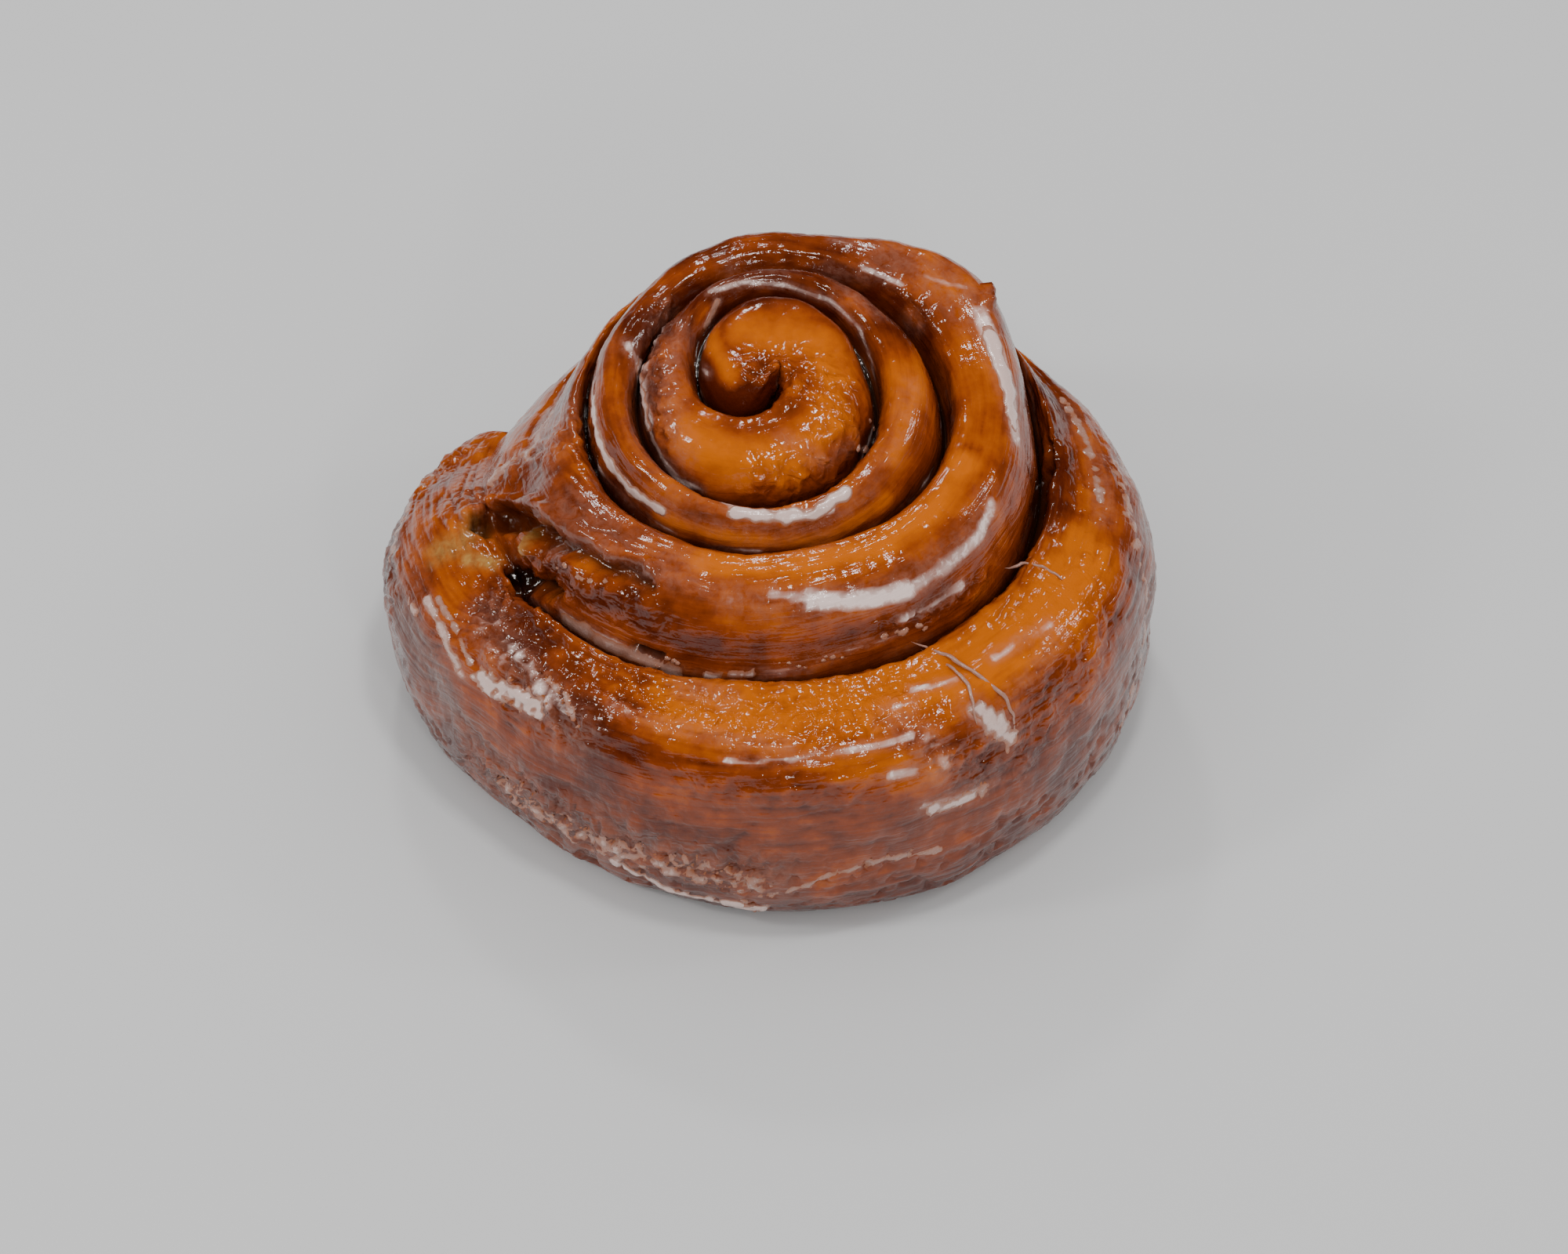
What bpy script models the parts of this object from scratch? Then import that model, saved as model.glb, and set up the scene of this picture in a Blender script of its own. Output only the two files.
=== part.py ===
"""A glazed cinnamon roll: one strip of dough wound outward from a tongue in the middle.

The strip is worked out in millimetres along its seam, the groove that it leaves between two turns. A turn
is 1.0 of t, and t runs clockwise as seen from above: whole numbers are west (-X), then north (+Y), east
and south. The object is in metres, with +Z up and its flat foot at Z = 0.
"""

import bmesh
import bpy
import numpy as np

MM = 0.001

# The seam starts east of the tongue and becomes the free edge of the roll at SEAM_END.
SEAM_START = -0.5
SEAM_END = 3.08
QUARTER_TURN = 0.25

# Centre of the winding, which drifts forward and down the slope as the turns grow: t, x, y
CENTRES = (
    (-0.5, -4.2, 8.0),
    (0.5, 0.5, 6.0),
    (1.5, 0.8, 5.0),
    (2.5, 0.0, 3.5),
    (3.4, 0.0, 1.0),
)

# Seam at each quarter turn, starting in the east: radius, height of the inner lip, how much higher the
# inner turn's edge stands, depth of the groove below the lip
RADIUS, LIP, STEP, DEPTH = range(4)
SEAM = (
    (5.6, 60.5, 0.0, 6.0),
    (5.6, 57.0, 1.0, 8.0),
    (7.7, 58.0, 1.0, 7.0),
    (15.3, 61.5, 1.0, 4.0),
    (15.1, 57.5, 1.0, 6.5),
    (16.9, 52.5, 1.5, 6.5),
    (19.4, 55.5, 1.0, 4.5),
    (22.5, 59.0, 0.5, 4.0),
    (24.7, 53.5, 1.0, 6.5),
    (21.9, 50.0, 1.5, 5.0),
    (26.4, 50.0, 3.0, 4.5),
    (34.8, 51.5, 5.5, 5.0),
    (39.4, 42.5, 7.0, 6.0),
    (34.9, 39.5, 6.5, 5.0),
    (39.8, 39.5, 4.0, 7.0),
    (45.0, 33.0, 1.0, 2.0),
)

# Free side of the last turn at each eighth, starting in the west: radius at the widest line, height of that
# line, height of the crest, squareness of the shoulder (2 is an ellipse)
SIDE_START = 3.0
EIGHTH_TURN = 0.125
REACH, WIDEST, CREST, SQUARENESS = range(4)
SIDE = (
    (48.5, 14.0, 39.0, 1.6),
    (49.0, 11.0, 37.5, 1.3),
    (49.5, 14.0, 41.0, 1.5),
    (52.0, 17.0, 37.5, 1.8),
    (57.0, 18.0, 38.5, 2.3),
    (53.2, 16.0, 38.5, 2.5),
    (50.2, 15.0, 37.5, 2.7),
    (49.6, 15.0, 35.5, 2.3),
    (56.8, 17.0, 33.0, 2.1),
    (55.0, 15.0, 25.0, 2.0),
)

# A peak of crust on the third turn's edge, in the north-east: place along the seam, length, rise, reach
PEAK_PLACE = 2.39
PEAK_LENGTH = 0.065
PEAK_RISE = 5.5
PEAK_REACH = 3.5

# The torn hollow under the west shoulder: x, y, radius, depth
HOLLOWS = (
    (-38.0, -3.0, 5.0, 4.0),
    (-32.5, -14.0, 3.5, 3.0),
)

# Cross-section of a turn
GROOVE_HALF_WIDTH = 0.35
INNER_EDGE_ROUND = 2.6
OUTER_EDGE_ROUND = 4.0
LAST_EDGE_ROUND = 6.0
LAST_EDGE_FROM = 2.0
MOST_ROUND = 0.45
CROWN = 0.13
CROWN_WIDTH = 14.0
CREST_PLACE = 0.40
SHOULDER = 1.5
FOOT_INSET = 6.0
FOOT_SQUARENESS = 2.2

# Lengths along the winding, in turns
GROOVE_RAMP = 0.10
EDGE_RAMP = 0.12
CAP_RAMP = 0.20
TAIL_LENGTH = 0.085
SEAM_CLOSES = 2.92
CLOSE_RAMP = 0.08
TAIL_START = 3.90
TAIL_RAMP = 0.08

# How late the flush tail falls away towards the side: 1 is straight
TAIL_FALL = 1.6

# Fineness of the mesh
COLUMNS = 72
ACROSS = 10
SIDE_ROWS = 9
SHARP_ANGLE = np.radians(50)
LEAST_WIDTH = 1e-6

CRUST_COLOUR = (0.33, 0.105, 0.022, 1.0)
CRUST_ROUGHNESS = 0.32


def along(rows, column, start, step, t):
    """A smooth curve through one column of a list of stations."""
    given = [row[column] for row in rows]
    ends = [2 * given[0] - given[1]], [2 * given[-1] - given[-2]]
    value = np.concatenate([ends[0], given, ends[1]])
    place = np.clip((np.asarray(t, float) - start) / step, 0, len(given) - 1)
    i = np.minimum(place.astype(int), len(given) - 2)
    f = place - i
    a, b, c, d = value[i], value[i + 1], value[i + 2], value[i + 3]
    return b + 0.5 * f * (c - a + f * (2 * a - 5 * b + 4 * c - d + f * (3 * (b - c) + d - a)))


def seam_value(column, t):
    return along(SEAM, column, SEAM_START, QUARTER_TURN, t)


def side_value(column, t):
    return along(SIDE, column, SIDE_START, EIGHTH_TURN, t)


def outward(t, radius):
    """Point in plan at a radius from the winding's centre."""
    when, x, y = np.array(CENTRES).T
    angle = 2 * np.pi * t
    return np.interp(t, when, x) - radius * np.cos(angle), np.interp(t, when, y) + radius * np.sin(angle)


def peak(t):
    return np.exp(-(((t - PEAK_PLACE) / PEAK_LENGTH) ** 2))


def seam_point(t):
    """The seam in plan. Before its start it stays at its first point."""
    t = np.maximum(t, SEAM_START)
    return outward(t, seam_value(RADIUS, t) + PEAK_REACH * peak(t))


def hollow(x, y):
    """How far the torn places sink the crust."""
    sunk = 0.0
    for at_x, at_y, size, deep in HOLLOWS:
        sunk = sunk + deep * np.exp(-((x - at_x) ** 2 + (y - at_y) ** 2) / size**2)
    return sunk


def rounded(distance, size):
    """1 at a groove, falling to 0 over a quarter-round edge of this size."""
    x = np.clip((distance - GROOVE_HALF_WIDTH) / size, 0, 1)
    return 1 - np.sqrt(1 - (1 - x) ** 2)


def ramp(t, start, length):
    return np.clip((t - start) / length, 0, 1)


def smooth(x):
    return x * x * (3 - 2 * x)


def open_seam(t):
    """1 where the seam is open, 0 before its start and where the last turn lies flush."""
    return ramp(t, SEAM_START, GROOVE_RAMP) * (1 - smooth(ramp(t, SEAM_CLOSES, CLOSE_RAMP)))


def wound_turn(t, across):
    """A turn between its two seams, across from 0 to 1."""
    x_in, y_in = seam_point(t - 1)
    x_out, y_out = seam_point(t)
    width = np.maximum(np.hypot(x_out - x_in, y_out - y_in), LEAST_WIDTH)
    earlier = np.maximum(t - 1, SEAM_START)
    z_in = seam_value(LIP, earlier)
    step = seam_value(STEP, t) * open_seam(t) + PEAK_RISE * peak(t)
    z_out = seam_value(LIP, t) + step
    fall_in = seam_value(DEPTH, earlier) * open_seam(t - 1)
    fall_out = (step + seam_value(DEPTH, t)) * open_seam(t)
    share = 0.5 - 0.5 * np.cos(np.pi * across)
    cap = 1 - ramp(t - 1, SEAM_START, CAP_RAMP)
    crown = CROWN * np.minimum(width, CROWN_WIDTH) * (1 - (2 * share - 1) ** 2) * (1 - cap)
    round_in = np.minimum(INNER_EDGE_ROUND, MOST_ROUND * width)
    round_out = np.where(t > LAST_EDGE_FROM, LAST_EDGE_ROUND, OUTER_EDGE_ROUND)
    round_out = np.minimum(round_out, MOST_ROUND * width)
    x = x_in + (x_out - x_in) * share
    y = y_in + (y_out - y_in) * share
    z = z_in + (z_out - z_in) * share ** (1 + cap) + crown
    z = z - fall_in * rounded(share * width, round_in) - fall_out * rounded((1 - share) * width, round_out)
    return np.stack([x, y, z], -1)


def free_side(t, stage):
    """The last turn, from its seam (stage 0) over its crest (1) and widest line (2) to its foot (3)."""
    x_in, y_in = seam_point(t - 1)
    x_out, y_out = outward(t, side_value(REACH, t))
    width = np.hypot(x_out - x_in, y_out - y_in)
    z_lip = seam_value(LIP, t - 1)
    z_wide = side_value(WIDEST, t)
    z_crest = side_value(CREST, t)
    power = 2 / side_value(SQUARENESS, t)
    crest = CREST_PLACE * width
    rise, turn, tuck = (np.clip(stage - start, 0, 1) * np.pi / 2 for start in range(3))
    foot_power = 2 / FOOT_SQUARENESS
    up = GROOVE_HALF_WIDTH + (crest - GROOVE_HALF_WIDTH) * (1 - np.cos(rise))
    over = crest + (width - crest) * np.sin(turn) ** power
    under = width - FOOT_INSET * (1 - np.cos(tuck) ** foot_power)
    reach = np.where(stage <= 0, 0, np.where(stage <= 1, up, np.where(stage <= 2, over, under)))
    z_up = z_lip + (z_crest - z_lip) * smooth(1 - np.cos(rise))
    z_over = z_wide + (z_crest - z_wide) * np.cos(turn) ** power
    z_under = z_wide * (1 - np.sin(tuck) ** foot_power)
    z = np.where(stage <= 1, z_up, np.where(stage <= 2, z_over, z_under))
    z = z - seam_value(DEPTH, t - 1) * open_seam(t - 1) * rounded(reach, INNER_EDGE_ROUND)
    share = reach / width
    return np.stack([x_in + (x_out - x_in) * share, y_in + (y_out - y_in) * share, z], -1)


def drawn_together(points, t, end):
    """The last stretch of the strip is drawn together at its end, with a blunt round tip."""
    closing = 1 - np.sqrt(1 - ramp(t, SEAM_END + 1 - TAIL_LENGTH, TAIL_LENGTH) ** 2)
    return points + (end - points) * closing[..., None]


def top_surface(t, across):
    """The strip's top, where the last turn still starts at its own seam."""
    wound = wound_turn(np.minimum(t, SEAM_END), across)
    free = free_side(np.maximum(t, SEAM_END - 2 * EDGE_RAMP), across * SHOULDER)
    mix = smooth(ramp(t, SEAM_END - EDGE_RAMP, EDGE_RAMP))[..., None]
    end = free_side(np.array(SEAM_END), np.array(SHOULDER))
    return drawn_together(wound * (1 - mix) + free * mix, t, end)


def joined_top(t, across):
    """The strip's top with the last turn's inner edge on the edge of the turn before it.

    Towards its tail the last turn loses its own crest and lies flush with the turn before it."""
    points = top_surface(t, across)
    inner = top_surface(t - 1, np.ones_like(across))
    outer = top_surface(t, np.ones_like(across))
    lean = (inner - top_surface(t, np.zeros_like(across))) * (1 - across[..., None]) ** 2
    flush = inner + (outer - inner) * np.stack([across, across, across**TAIL_FALL], -1)
    tail = smooth(ramp(t, TAIL_START, TAIL_RAMP))[..., None]
    last = (points + lean) * (1 - tail) + flush * tail
    points = np.where((t >= SEAM_END)[..., None], last, points)
    sunk = hollow(points[..., 0], points[..., 1])[..., None]
    return points - sunk * [0, 0, 1]


def side_surface(t, stage):
    return drawn_together(free_side(t, stage), t, free_side(np.full_like(stage, SEAM_END), stage))


def strip_grids(columns, across, side_rows):
    """The strip's top, row by row from the tongue, and the free side below its shoulder."""
    last = int(round((SEAM_END + 1 - SEAM_START) * columns))
    times = SEAM_END + 1 - (last - np.arange(last + 1)) / columns
    t, v = np.meshgrid(times, np.linspace(0, 1, across + 1), indexing="ij")
    stages = np.linspace(SHOULDER, 3, side_rows + 1)
    t_side, stage = np.meshgrid(times[-columns - 1 :], stages, indexing="ij")
    return joined_top(t, v), side_surface(t_side, stage)


def strip_faces(columns, top_shape, side_shape):
    """Corner numbers of each face, where a seam's two turns share one line of points."""
    rows, last_column = top_shape[0] - 1, top_shape[1] - 1
    top = np.arange(top_shape[0] * top_shape[1]).reshape(top_shape)
    top[0] = top[0, -1]
    top[:columns, 0] = top[0, -1]
    top[rows] = top[rows - columns, last_column]
    for row in range(columns, rows + 1):
        top[row, 0] = top[row - columns, last_column]
    side = top.size + np.arange(side_shape[0] * side_shape[1]).reshape(side_shape)
    side[:, 0] = top[rows - columns :, last_column]
    side[-1] = side[0]
    faces = []
    for grid in (top, side):
        for k in range(grid.shape[0] - 1):
            for j in range(grid.shape[1] - 1):
                corners = (grid[k, j], grid[k, j + 1], grid[k + 1, j + 1], grid[k + 1, j])
                faces.append(list(dict.fromkeys(int(corner) for corner in corners)))
    foot = [int(corner) for corner in side[:-1, -1]]
    return [face for face in faces if len(face) > 2], foot


def centred(points):
    """The points moved so that their box stands over the origin."""
    low, high = points.min(axis=0), points.max(axis=0)
    return points - [(low[0] + high[0]) / 2, (low[1] + high[1]) / 2, low[2]]


def roll_mesh():
    top, side = strip_grids(COLUMNS, ACROSS, SIDE_ROWS)
    faces, foot = strip_faces(COLUMNS, top.shape[:2], side.shape[:2])
    points = centred(np.concatenate([top.reshape(-1, 3), side.reshape(-1, 3)])) * MM
    bm = bmesh.new()
    corners = [bm.verts.new(point) for point in points]
    for face in faces:
        bm.faces.new([corners[corner] for corner in face])
    middle = bm.verts.new((0.0, 0.0, 0.0))
    for here, there in zip(foot, foot[1:] + foot[:1]):
        bm.faces.new((corners[here], corners[there], middle))
    loose = [vert for vert in bm.verts if not vert.link_faces]
    bmesh.ops.delete(bm, geom=loose, context="VERTS")
    bmesh.ops.recalc_face_normals(bm, faces=bm.faces)
    bmesh.ops.triangulate(bm, faces=bm.faces)
    mesh = bpy.data.meshes.new("cinnamon_roll")
    bm.to_mesh(mesh)
    bm.free()
    return mesh


def crust_material():
    material = bpy.data.materials.new("glazed_crust")
    material.use_nodes = True
    shader = material.node_tree.nodes["Principled BSDF"]
    shader.inputs["Base Color"].default_value = CRUST_COLOUR
    shader.inputs["Roughness"].default_value = CRUST_ROUGHNESS
    shader.inputs["Metallic"].default_value = 0.0
    return material


def main():
    for thing in list(bpy.data.objects):
        bpy.data.objects.remove(thing)
    roll = bpy.data.objects.new("cinnamon_roll", roll_mesh())
    bpy.context.scene.collection.objects.link(roll)
    roll.data.materials.append(crust_material())
    roll.data.shade_smooth()
    roll.data.set_sharp_from_angle(angle=SHARP_ANGLE)


main()
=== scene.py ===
"""The looks of a glazed cinnamon roll: its baked crust, its sugar glaze and a plain studio.

The strip of dough is worked out in millimetres along its seam, the groove that it leaves between two turns.
A turn is 1.0 of t, and t runs clockwise as seen from above: whole numbers are west (-X), then north (+Y),
east and south. Pieces are in metres, with +Z up and the foot at Z = 0. Places that are given in pixels are
places in an image of 2000 by 1600, and each is carried onto the crust along the camera's line of sight.
"""

import itertools

import bmesh
import bpy
import numpy as np
from mathutils import Matrix, Vector
from mathutils.bvhtree import BVHTree


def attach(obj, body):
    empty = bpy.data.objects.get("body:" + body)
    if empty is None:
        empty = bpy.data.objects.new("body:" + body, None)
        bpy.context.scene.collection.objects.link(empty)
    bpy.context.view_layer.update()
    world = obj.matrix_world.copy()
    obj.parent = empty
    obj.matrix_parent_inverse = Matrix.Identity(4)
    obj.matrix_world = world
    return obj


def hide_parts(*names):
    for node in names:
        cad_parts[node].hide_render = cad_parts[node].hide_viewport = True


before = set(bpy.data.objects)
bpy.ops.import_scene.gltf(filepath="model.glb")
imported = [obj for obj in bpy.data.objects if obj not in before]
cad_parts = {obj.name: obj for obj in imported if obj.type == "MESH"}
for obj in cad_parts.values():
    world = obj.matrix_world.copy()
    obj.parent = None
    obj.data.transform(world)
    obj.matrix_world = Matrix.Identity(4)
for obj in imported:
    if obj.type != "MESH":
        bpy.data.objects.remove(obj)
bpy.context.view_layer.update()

bl_info = {
    "name": "Glazed cinnamon roll",
    "version": (1, 0, 0),
    "blender": (4, 5, 0),
    "location": "View3D > Sidebar > Cinnamon roll",
    "description": "Builds a glazed cinnamon roll, its sugar glaze and a plain studio",
    "category": "Add Mesh",
}

MM = 0.001

# The seam starts east of the tongue and becomes the free edge of the roll at SEAM_END.
SEAM_START = -0.5
SEAM_END = 3.08
QUARTER_TURN = 0.25

# Centre of the winding, which drifts forward and down the slope as the turns grow: t, x, y
CENTRES = (
    (-0.5, -4.2, 8.0),
    (0.5, 0.5, 6.0),
    (1.5, 0.8, 5.0),
    (2.5, 0.0, 3.5),
    (3.4, 0.0, 1.0),
)

# Seam at each quarter turn, starting in the east: radius, height of the inner lip, how much higher the
# inner turn's edge stands, depth of the groove below the lip
RADIUS, LIP, STEP, DEPTH = range(4)
SEAM = (
    (5.6, 60.5, 0.0, 6.0),
    (5.6, 57.0, 1.0, 8.0),
    (7.7, 58.0, 1.0, 7.0),
    (15.3, 61.5, 1.0, 4.0),
    (15.1, 57.5, 1.0, 6.5),
    (16.9, 52.5, 1.5, 6.5),
    (19.4, 55.5, 1.0, 4.5),
    (22.5, 59.0, 0.5, 4.0),
    (24.7, 53.5, 1.0, 6.5),
    (21.9, 50.0, 1.5, 5.0),
    (26.4, 50.0, 3.0, 4.5),
    (34.8, 51.5, 5.5, 5.0),
    (39.4, 42.5, 7.0, 6.0),
    (34.9, 39.5, 6.5, 5.0),
    (39.8, 39.5, 4.0, 7.0),
    (45.0, 33.0, 1.0, 2.0),
)

# Free side of the last turn at each eighth, starting in the west: radius at the widest line, height of that
# line, height of the crest, squareness of the shoulder (2 is an ellipse)
SIDE_START = 3.0
EIGHTH_TURN = 0.125
REACH, WIDEST, CREST, SQUARENESS = range(4)
SIDE = (
    (48.5, 14.0, 39.0, 1.6),
    (49.0, 11.0, 37.5, 1.3),
    (49.5, 14.0, 41.0, 1.5),
    (52.0, 17.0, 37.5, 1.8),
    (57.0, 18.0, 38.5, 2.3),
    (53.2, 16.0, 38.5, 2.5),
    (50.2, 15.0, 37.5, 2.7),
    (49.6, 15.0, 35.5, 2.3),
    (56.8, 17.0, 33.0, 2.1),
    (55.0, 15.0, 25.0, 2.0),
)

# A peak of crust on the third turn's edge, in the north-east: place along the seam, length, rise, reach
PEAK_PLACE = 2.39
PEAK_LENGTH = 0.065
PEAK_RISE = 5.5
PEAK_REACH = 3.5

# The torn hollow under the west shoulder: x, y, radius, depth
HOLLOWS = (
    (-38.0, -3.0, 5.0, 4.0),
    (-32.5, -14.0, 3.5, 3.0),
)

# Cross-section of a turn
GROOVE_HALF_WIDTH = 0.35
INNER_EDGE_ROUND = 2.6
OUTER_EDGE_ROUND = 4.0
LAST_EDGE_ROUND = 6.0
LAST_EDGE_FROM = 2.0
MOST_ROUND = 0.45
CROWN = 0.13
CROWN_WIDTH = 14.0
CREST_PLACE = 0.40
SHOULDER = 1.5
FOOT_INSET = 6.0
FOOT_SQUARENESS = 2.2
LEAST_WIDTH = 1e-6

# Lengths along the winding, in turns
GROOVE_RAMP = 0.10
EDGE_RAMP = 0.12
CAP_RAMP = 0.20
TAIL_LENGTH = 0.085
SEAM_CLOSES = 2.92
CLOSE_RAMP = 0.08
TAIL_START = 3.90
TAIL_RAMP = 0.08

# How late the flush tail falls away towards the side: 1 is straight
TAIL_FALL = 1.6

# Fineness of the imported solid, whose box the crust shares
SOLID_COLUMNS = 72
SOLID_ACROSS = 10
SOLID_SIDE_ROWS = 9

# Beside a seam, and where the strip closes on its own start, relief fades in over these lengths
SEAM_FADE = 1.0
TAIL_FADE = 0.03
FAR = 99.0

# The camera, whose image places the marks on the crust
IMAGE_WIDTH = 2000
IMAGE_HEIGHT = 1600
SENSOR = 36.0
LENS = 138.02
CAMERA_TILT = np.radians(40)
CAMERA_PLACE = (2.20, -574.14, 693.82)
ROLL_MIDDLE = (980, 720)
MOST_INWARD = 0.15


# The strip of dough


def along(rows, column, start, step, t):
    """A smooth curve through one column of a list of stations."""
    given = [row[column] for row in rows]
    ends = [2 * given[0] - given[1]], [2 * given[-1] - given[-2]]
    value = np.concatenate([ends[0], given, ends[1]])
    place = np.clip((np.asarray(t, float) - start) / step, 0, len(given) - 1)
    i = np.minimum(place.astype(int), len(given) - 2)
    f = place - i
    a, b, c, d = value[i], value[i + 1], value[i + 2], value[i + 3]
    return b + 0.5 * f * (c - a + f * (2 * a - 5 * b + 4 * c - d + f * (3 * (b - c) + d - a)))


def seam_value(column, t):
    return along(SEAM, column, SEAM_START, QUARTER_TURN, t)


def side_value(column, t):
    return along(SIDE, column, SIDE_START, EIGHTH_TURN, t)


def outward(t, radius):
    """Point in plan at a radius from the winding's centre."""
    when, x, y = np.array(CENTRES).T
    angle = 2 * np.pi * t
    return np.interp(t, when, x) - radius * np.cos(angle), np.interp(t, when, y) + radius * np.sin(angle)


def peak(t):
    return np.exp(-(((t - PEAK_PLACE) / PEAK_LENGTH) ** 2))


def seam_point(t):
    """The seam in plan. Before its start it stays at its first point."""
    t = np.maximum(t, SEAM_START)
    return outward(t, seam_value(RADIUS, t) + PEAK_REACH * peak(t))


def hollow(x, y):
    """How far the torn places sink the crust."""
    sunk = 0.0
    for at_x, at_y, size, deep in HOLLOWS:
        sunk = sunk + deep * np.exp(-((x - at_x) ** 2 + (y - at_y) ** 2) / size**2)
    return sunk


def rounded(distance, size):
    """1 at a groove, falling to 0 over a quarter-round edge of this size."""
    x = np.clip((distance - GROOVE_HALF_WIDTH) / size, 0, 1)
    return 1 - np.sqrt(1 - (1 - x) ** 2)


def ramp(t, start, length):
    return np.clip((t - start) / length, 0, 1)


def smooth(x):
    return x * x * (3 - 2 * x)


def open_seam(t):
    """1 where the seam is open, 0 before its start and where the last turn lies flush."""
    return ramp(t, SEAM_START, GROOVE_RAMP) * (1 - smooth(ramp(t, SEAM_CLOSES, CLOSE_RAMP)))


def wound_turn(t, across):
    """A turn between its two seams, across from 0 to 1."""
    x_in, y_in = seam_point(t - 1)
    x_out, y_out = seam_point(t)
    width = np.maximum(np.hypot(x_out - x_in, y_out - y_in), LEAST_WIDTH)
    earlier = np.maximum(t - 1, SEAM_START)
    z_in = seam_value(LIP, earlier)
    step = seam_value(STEP, t) * open_seam(t) + PEAK_RISE * peak(t)
    z_out = seam_value(LIP, t) + step
    fall_in = seam_value(DEPTH, earlier) * open_seam(t - 1)
    fall_out = (step + seam_value(DEPTH, t)) * open_seam(t)
    share = 0.5 - 0.5 * np.cos(np.pi * across)
    cap = 1 - ramp(t - 1, SEAM_START, CAP_RAMP)
    crown = CROWN * np.minimum(width, CROWN_WIDTH) * (1 - (2 * share - 1) ** 2) * (1 - cap)
    round_in = np.minimum(INNER_EDGE_ROUND, MOST_ROUND * width)
    round_out = np.where(t > LAST_EDGE_FROM, LAST_EDGE_ROUND, OUTER_EDGE_ROUND)
    round_out = np.minimum(round_out, MOST_ROUND * width)
    x = x_in + (x_out - x_in) * share
    y = y_in + (y_out - y_in) * share
    z = z_in + (z_out - z_in) * share ** (1 + cap) + crown
    z = z - fall_in * rounded(share * width, round_in) - fall_out * rounded((1 - share) * width, round_out)
    return np.stack([x, y, z], -1)


def free_side(t, stage):
    """The last turn, from its seam (stage 0) over its crest (1) and widest line (2) to its foot (3)."""
    x_in, y_in = seam_point(t - 1)
    x_out, y_out = outward(t, side_value(REACH, t))
    width = np.hypot(x_out - x_in, y_out - y_in)
    z_lip = seam_value(LIP, t - 1)
    z_wide = side_value(WIDEST, t)
    z_crest = side_value(CREST, t)
    power = 2 / side_value(SQUARENESS, t)
    crest = CREST_PLACE * width
    rise, turn, tuck = (np.clip(stage - start, 0, 1) * np.pi / 2 for start in range(3))
    foot_power = 2 / FOOT_SQUARENESS
    up = GROOVE_HALF_WIDTH + (crest - GROOVE_HALF_WIDTH) * (1 - np.cos(rise))
    over = crest + (width - crest) * np.sin(turn) ** power
    under = width - FOOT_INSET * (1 - np.cos(tuck) ** foot_power)
    reach = np.where(stage <= 0, 0, np.where(stage <= 1, up, np.where(stage <= 2, over, under)))
    z_up = z_lip + (z_crest - z_lip) * smooth(1 - np.cos(rise))
    z_over = z_wide + (z_crest - z_wide) * np.cos(turn) ** power
    z_under = z_wide * (1 - np.sin(tuck) ** foot_power)
    z = np.where(stage <= 1, z_up, np.where(stage <= 2, z_over, z_under))
    z = z - seam_value(DEPTH, t - 1) * open_seam(t - 1) * rounded(reach, INNER_EDGE_ROUND)
    share = reach / width
    return np.stack([x_in + (x_out - x_in) * share, y_in + (y_out - y_in) * share, z], -1)


def drawn_together(points, t, end):
    """The last stretch of the strip is drawn together at its end, with a blunt round tip."""
    closing = 1 - np.sqrt(1 - ramp(t, SEAM_END + 1 - TAIL_LENGTH, TAIL_LENGTH) ** 2)
    return points + (end - points) * closing[..., None]


def top_surface(t, across):
    """The strip's top, where the last turn still starts at its own seam."""
    wound = wound_turn(np.minimum(t, SEAM_END), across)
    free = free_side(np.maximum(t, SEAM_END - 2 * EDGE_RAMP), across * SHOULDER)
    mix = smooth(ramp(t, SEAM_END - EDGE_RAMP, EDGE_RAMP))[..., None]
    end = free_side(np.array(SEAM_END), np.array(SHOULDER))
    return drawn_together(wound * (1 - mix) + free * mix, t, end)


def joined_top(t, across):
    """The strip's top with the last turn's inner edge on the edge of the turn before it.

    Towards its tail the last turn loses its own crest and lies flush with the turn before it."""
    points = top_surface(t, across)
    inner = top_surface(t - 1, np.ones_like(across))
    outer = top_surface(t, np.ones_like(across))
    lean = (inner - top_surface(t, np.zeros_like(across))) * (1 - across[..., None]) ** 2
    flush = inner + (outer - inner) * np.stack([across, across, across**TAIL_FALL], -1)
    tail = smooth(ramp(t, TAIL_START, TAIL_RAMP))[..., None]
    last = (points + lean) * (1 - tail) + flush * tail
    points = np.where((t >= SEAM_END)[..., None], last, points)
    sunk = hollow(points[..., 0], points[..., 1])[..., None]
    return points - sunk * [0, 0, 1]


def side_surface(t, stage):
    return drawn_together(free_side(t, stage), t, free_side(np.full_like(stage, SEAM_END), stage))


def solid_shift():
    """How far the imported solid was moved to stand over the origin."""
    last = int(round((SEAM_END + 1 - SEAM_START) * SOLID_COLUMNS))
    times = SEAM_END + 1 - (last - np.arange(last + 1)) / SOLID_COLUMNS
    t, v = np.meshgrid(times, np.linspace(0, 1, SOLID_ACROSS + 1), indexing="ij")
    t_side, stage = np.meshgrid(
        times[-SOLID_COLUMNS - 1 :], np.linspace(SHOULDER, 3, SOLID_SIDE_ROWS + 1), indexing="ij"
    )
    points = np.concatenate([joined_top(t, v).reshape(-1, 3), side_surface(t_side, stage).reshape(-1, 3)])
    low, high = points.min(axis=0), points.max(axis=0)
    return np.array([(low[0] + high[0]) / 2, (low[1] + high[1]) / 2, low[2]])


# Noise for relief, the same on every run


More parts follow.
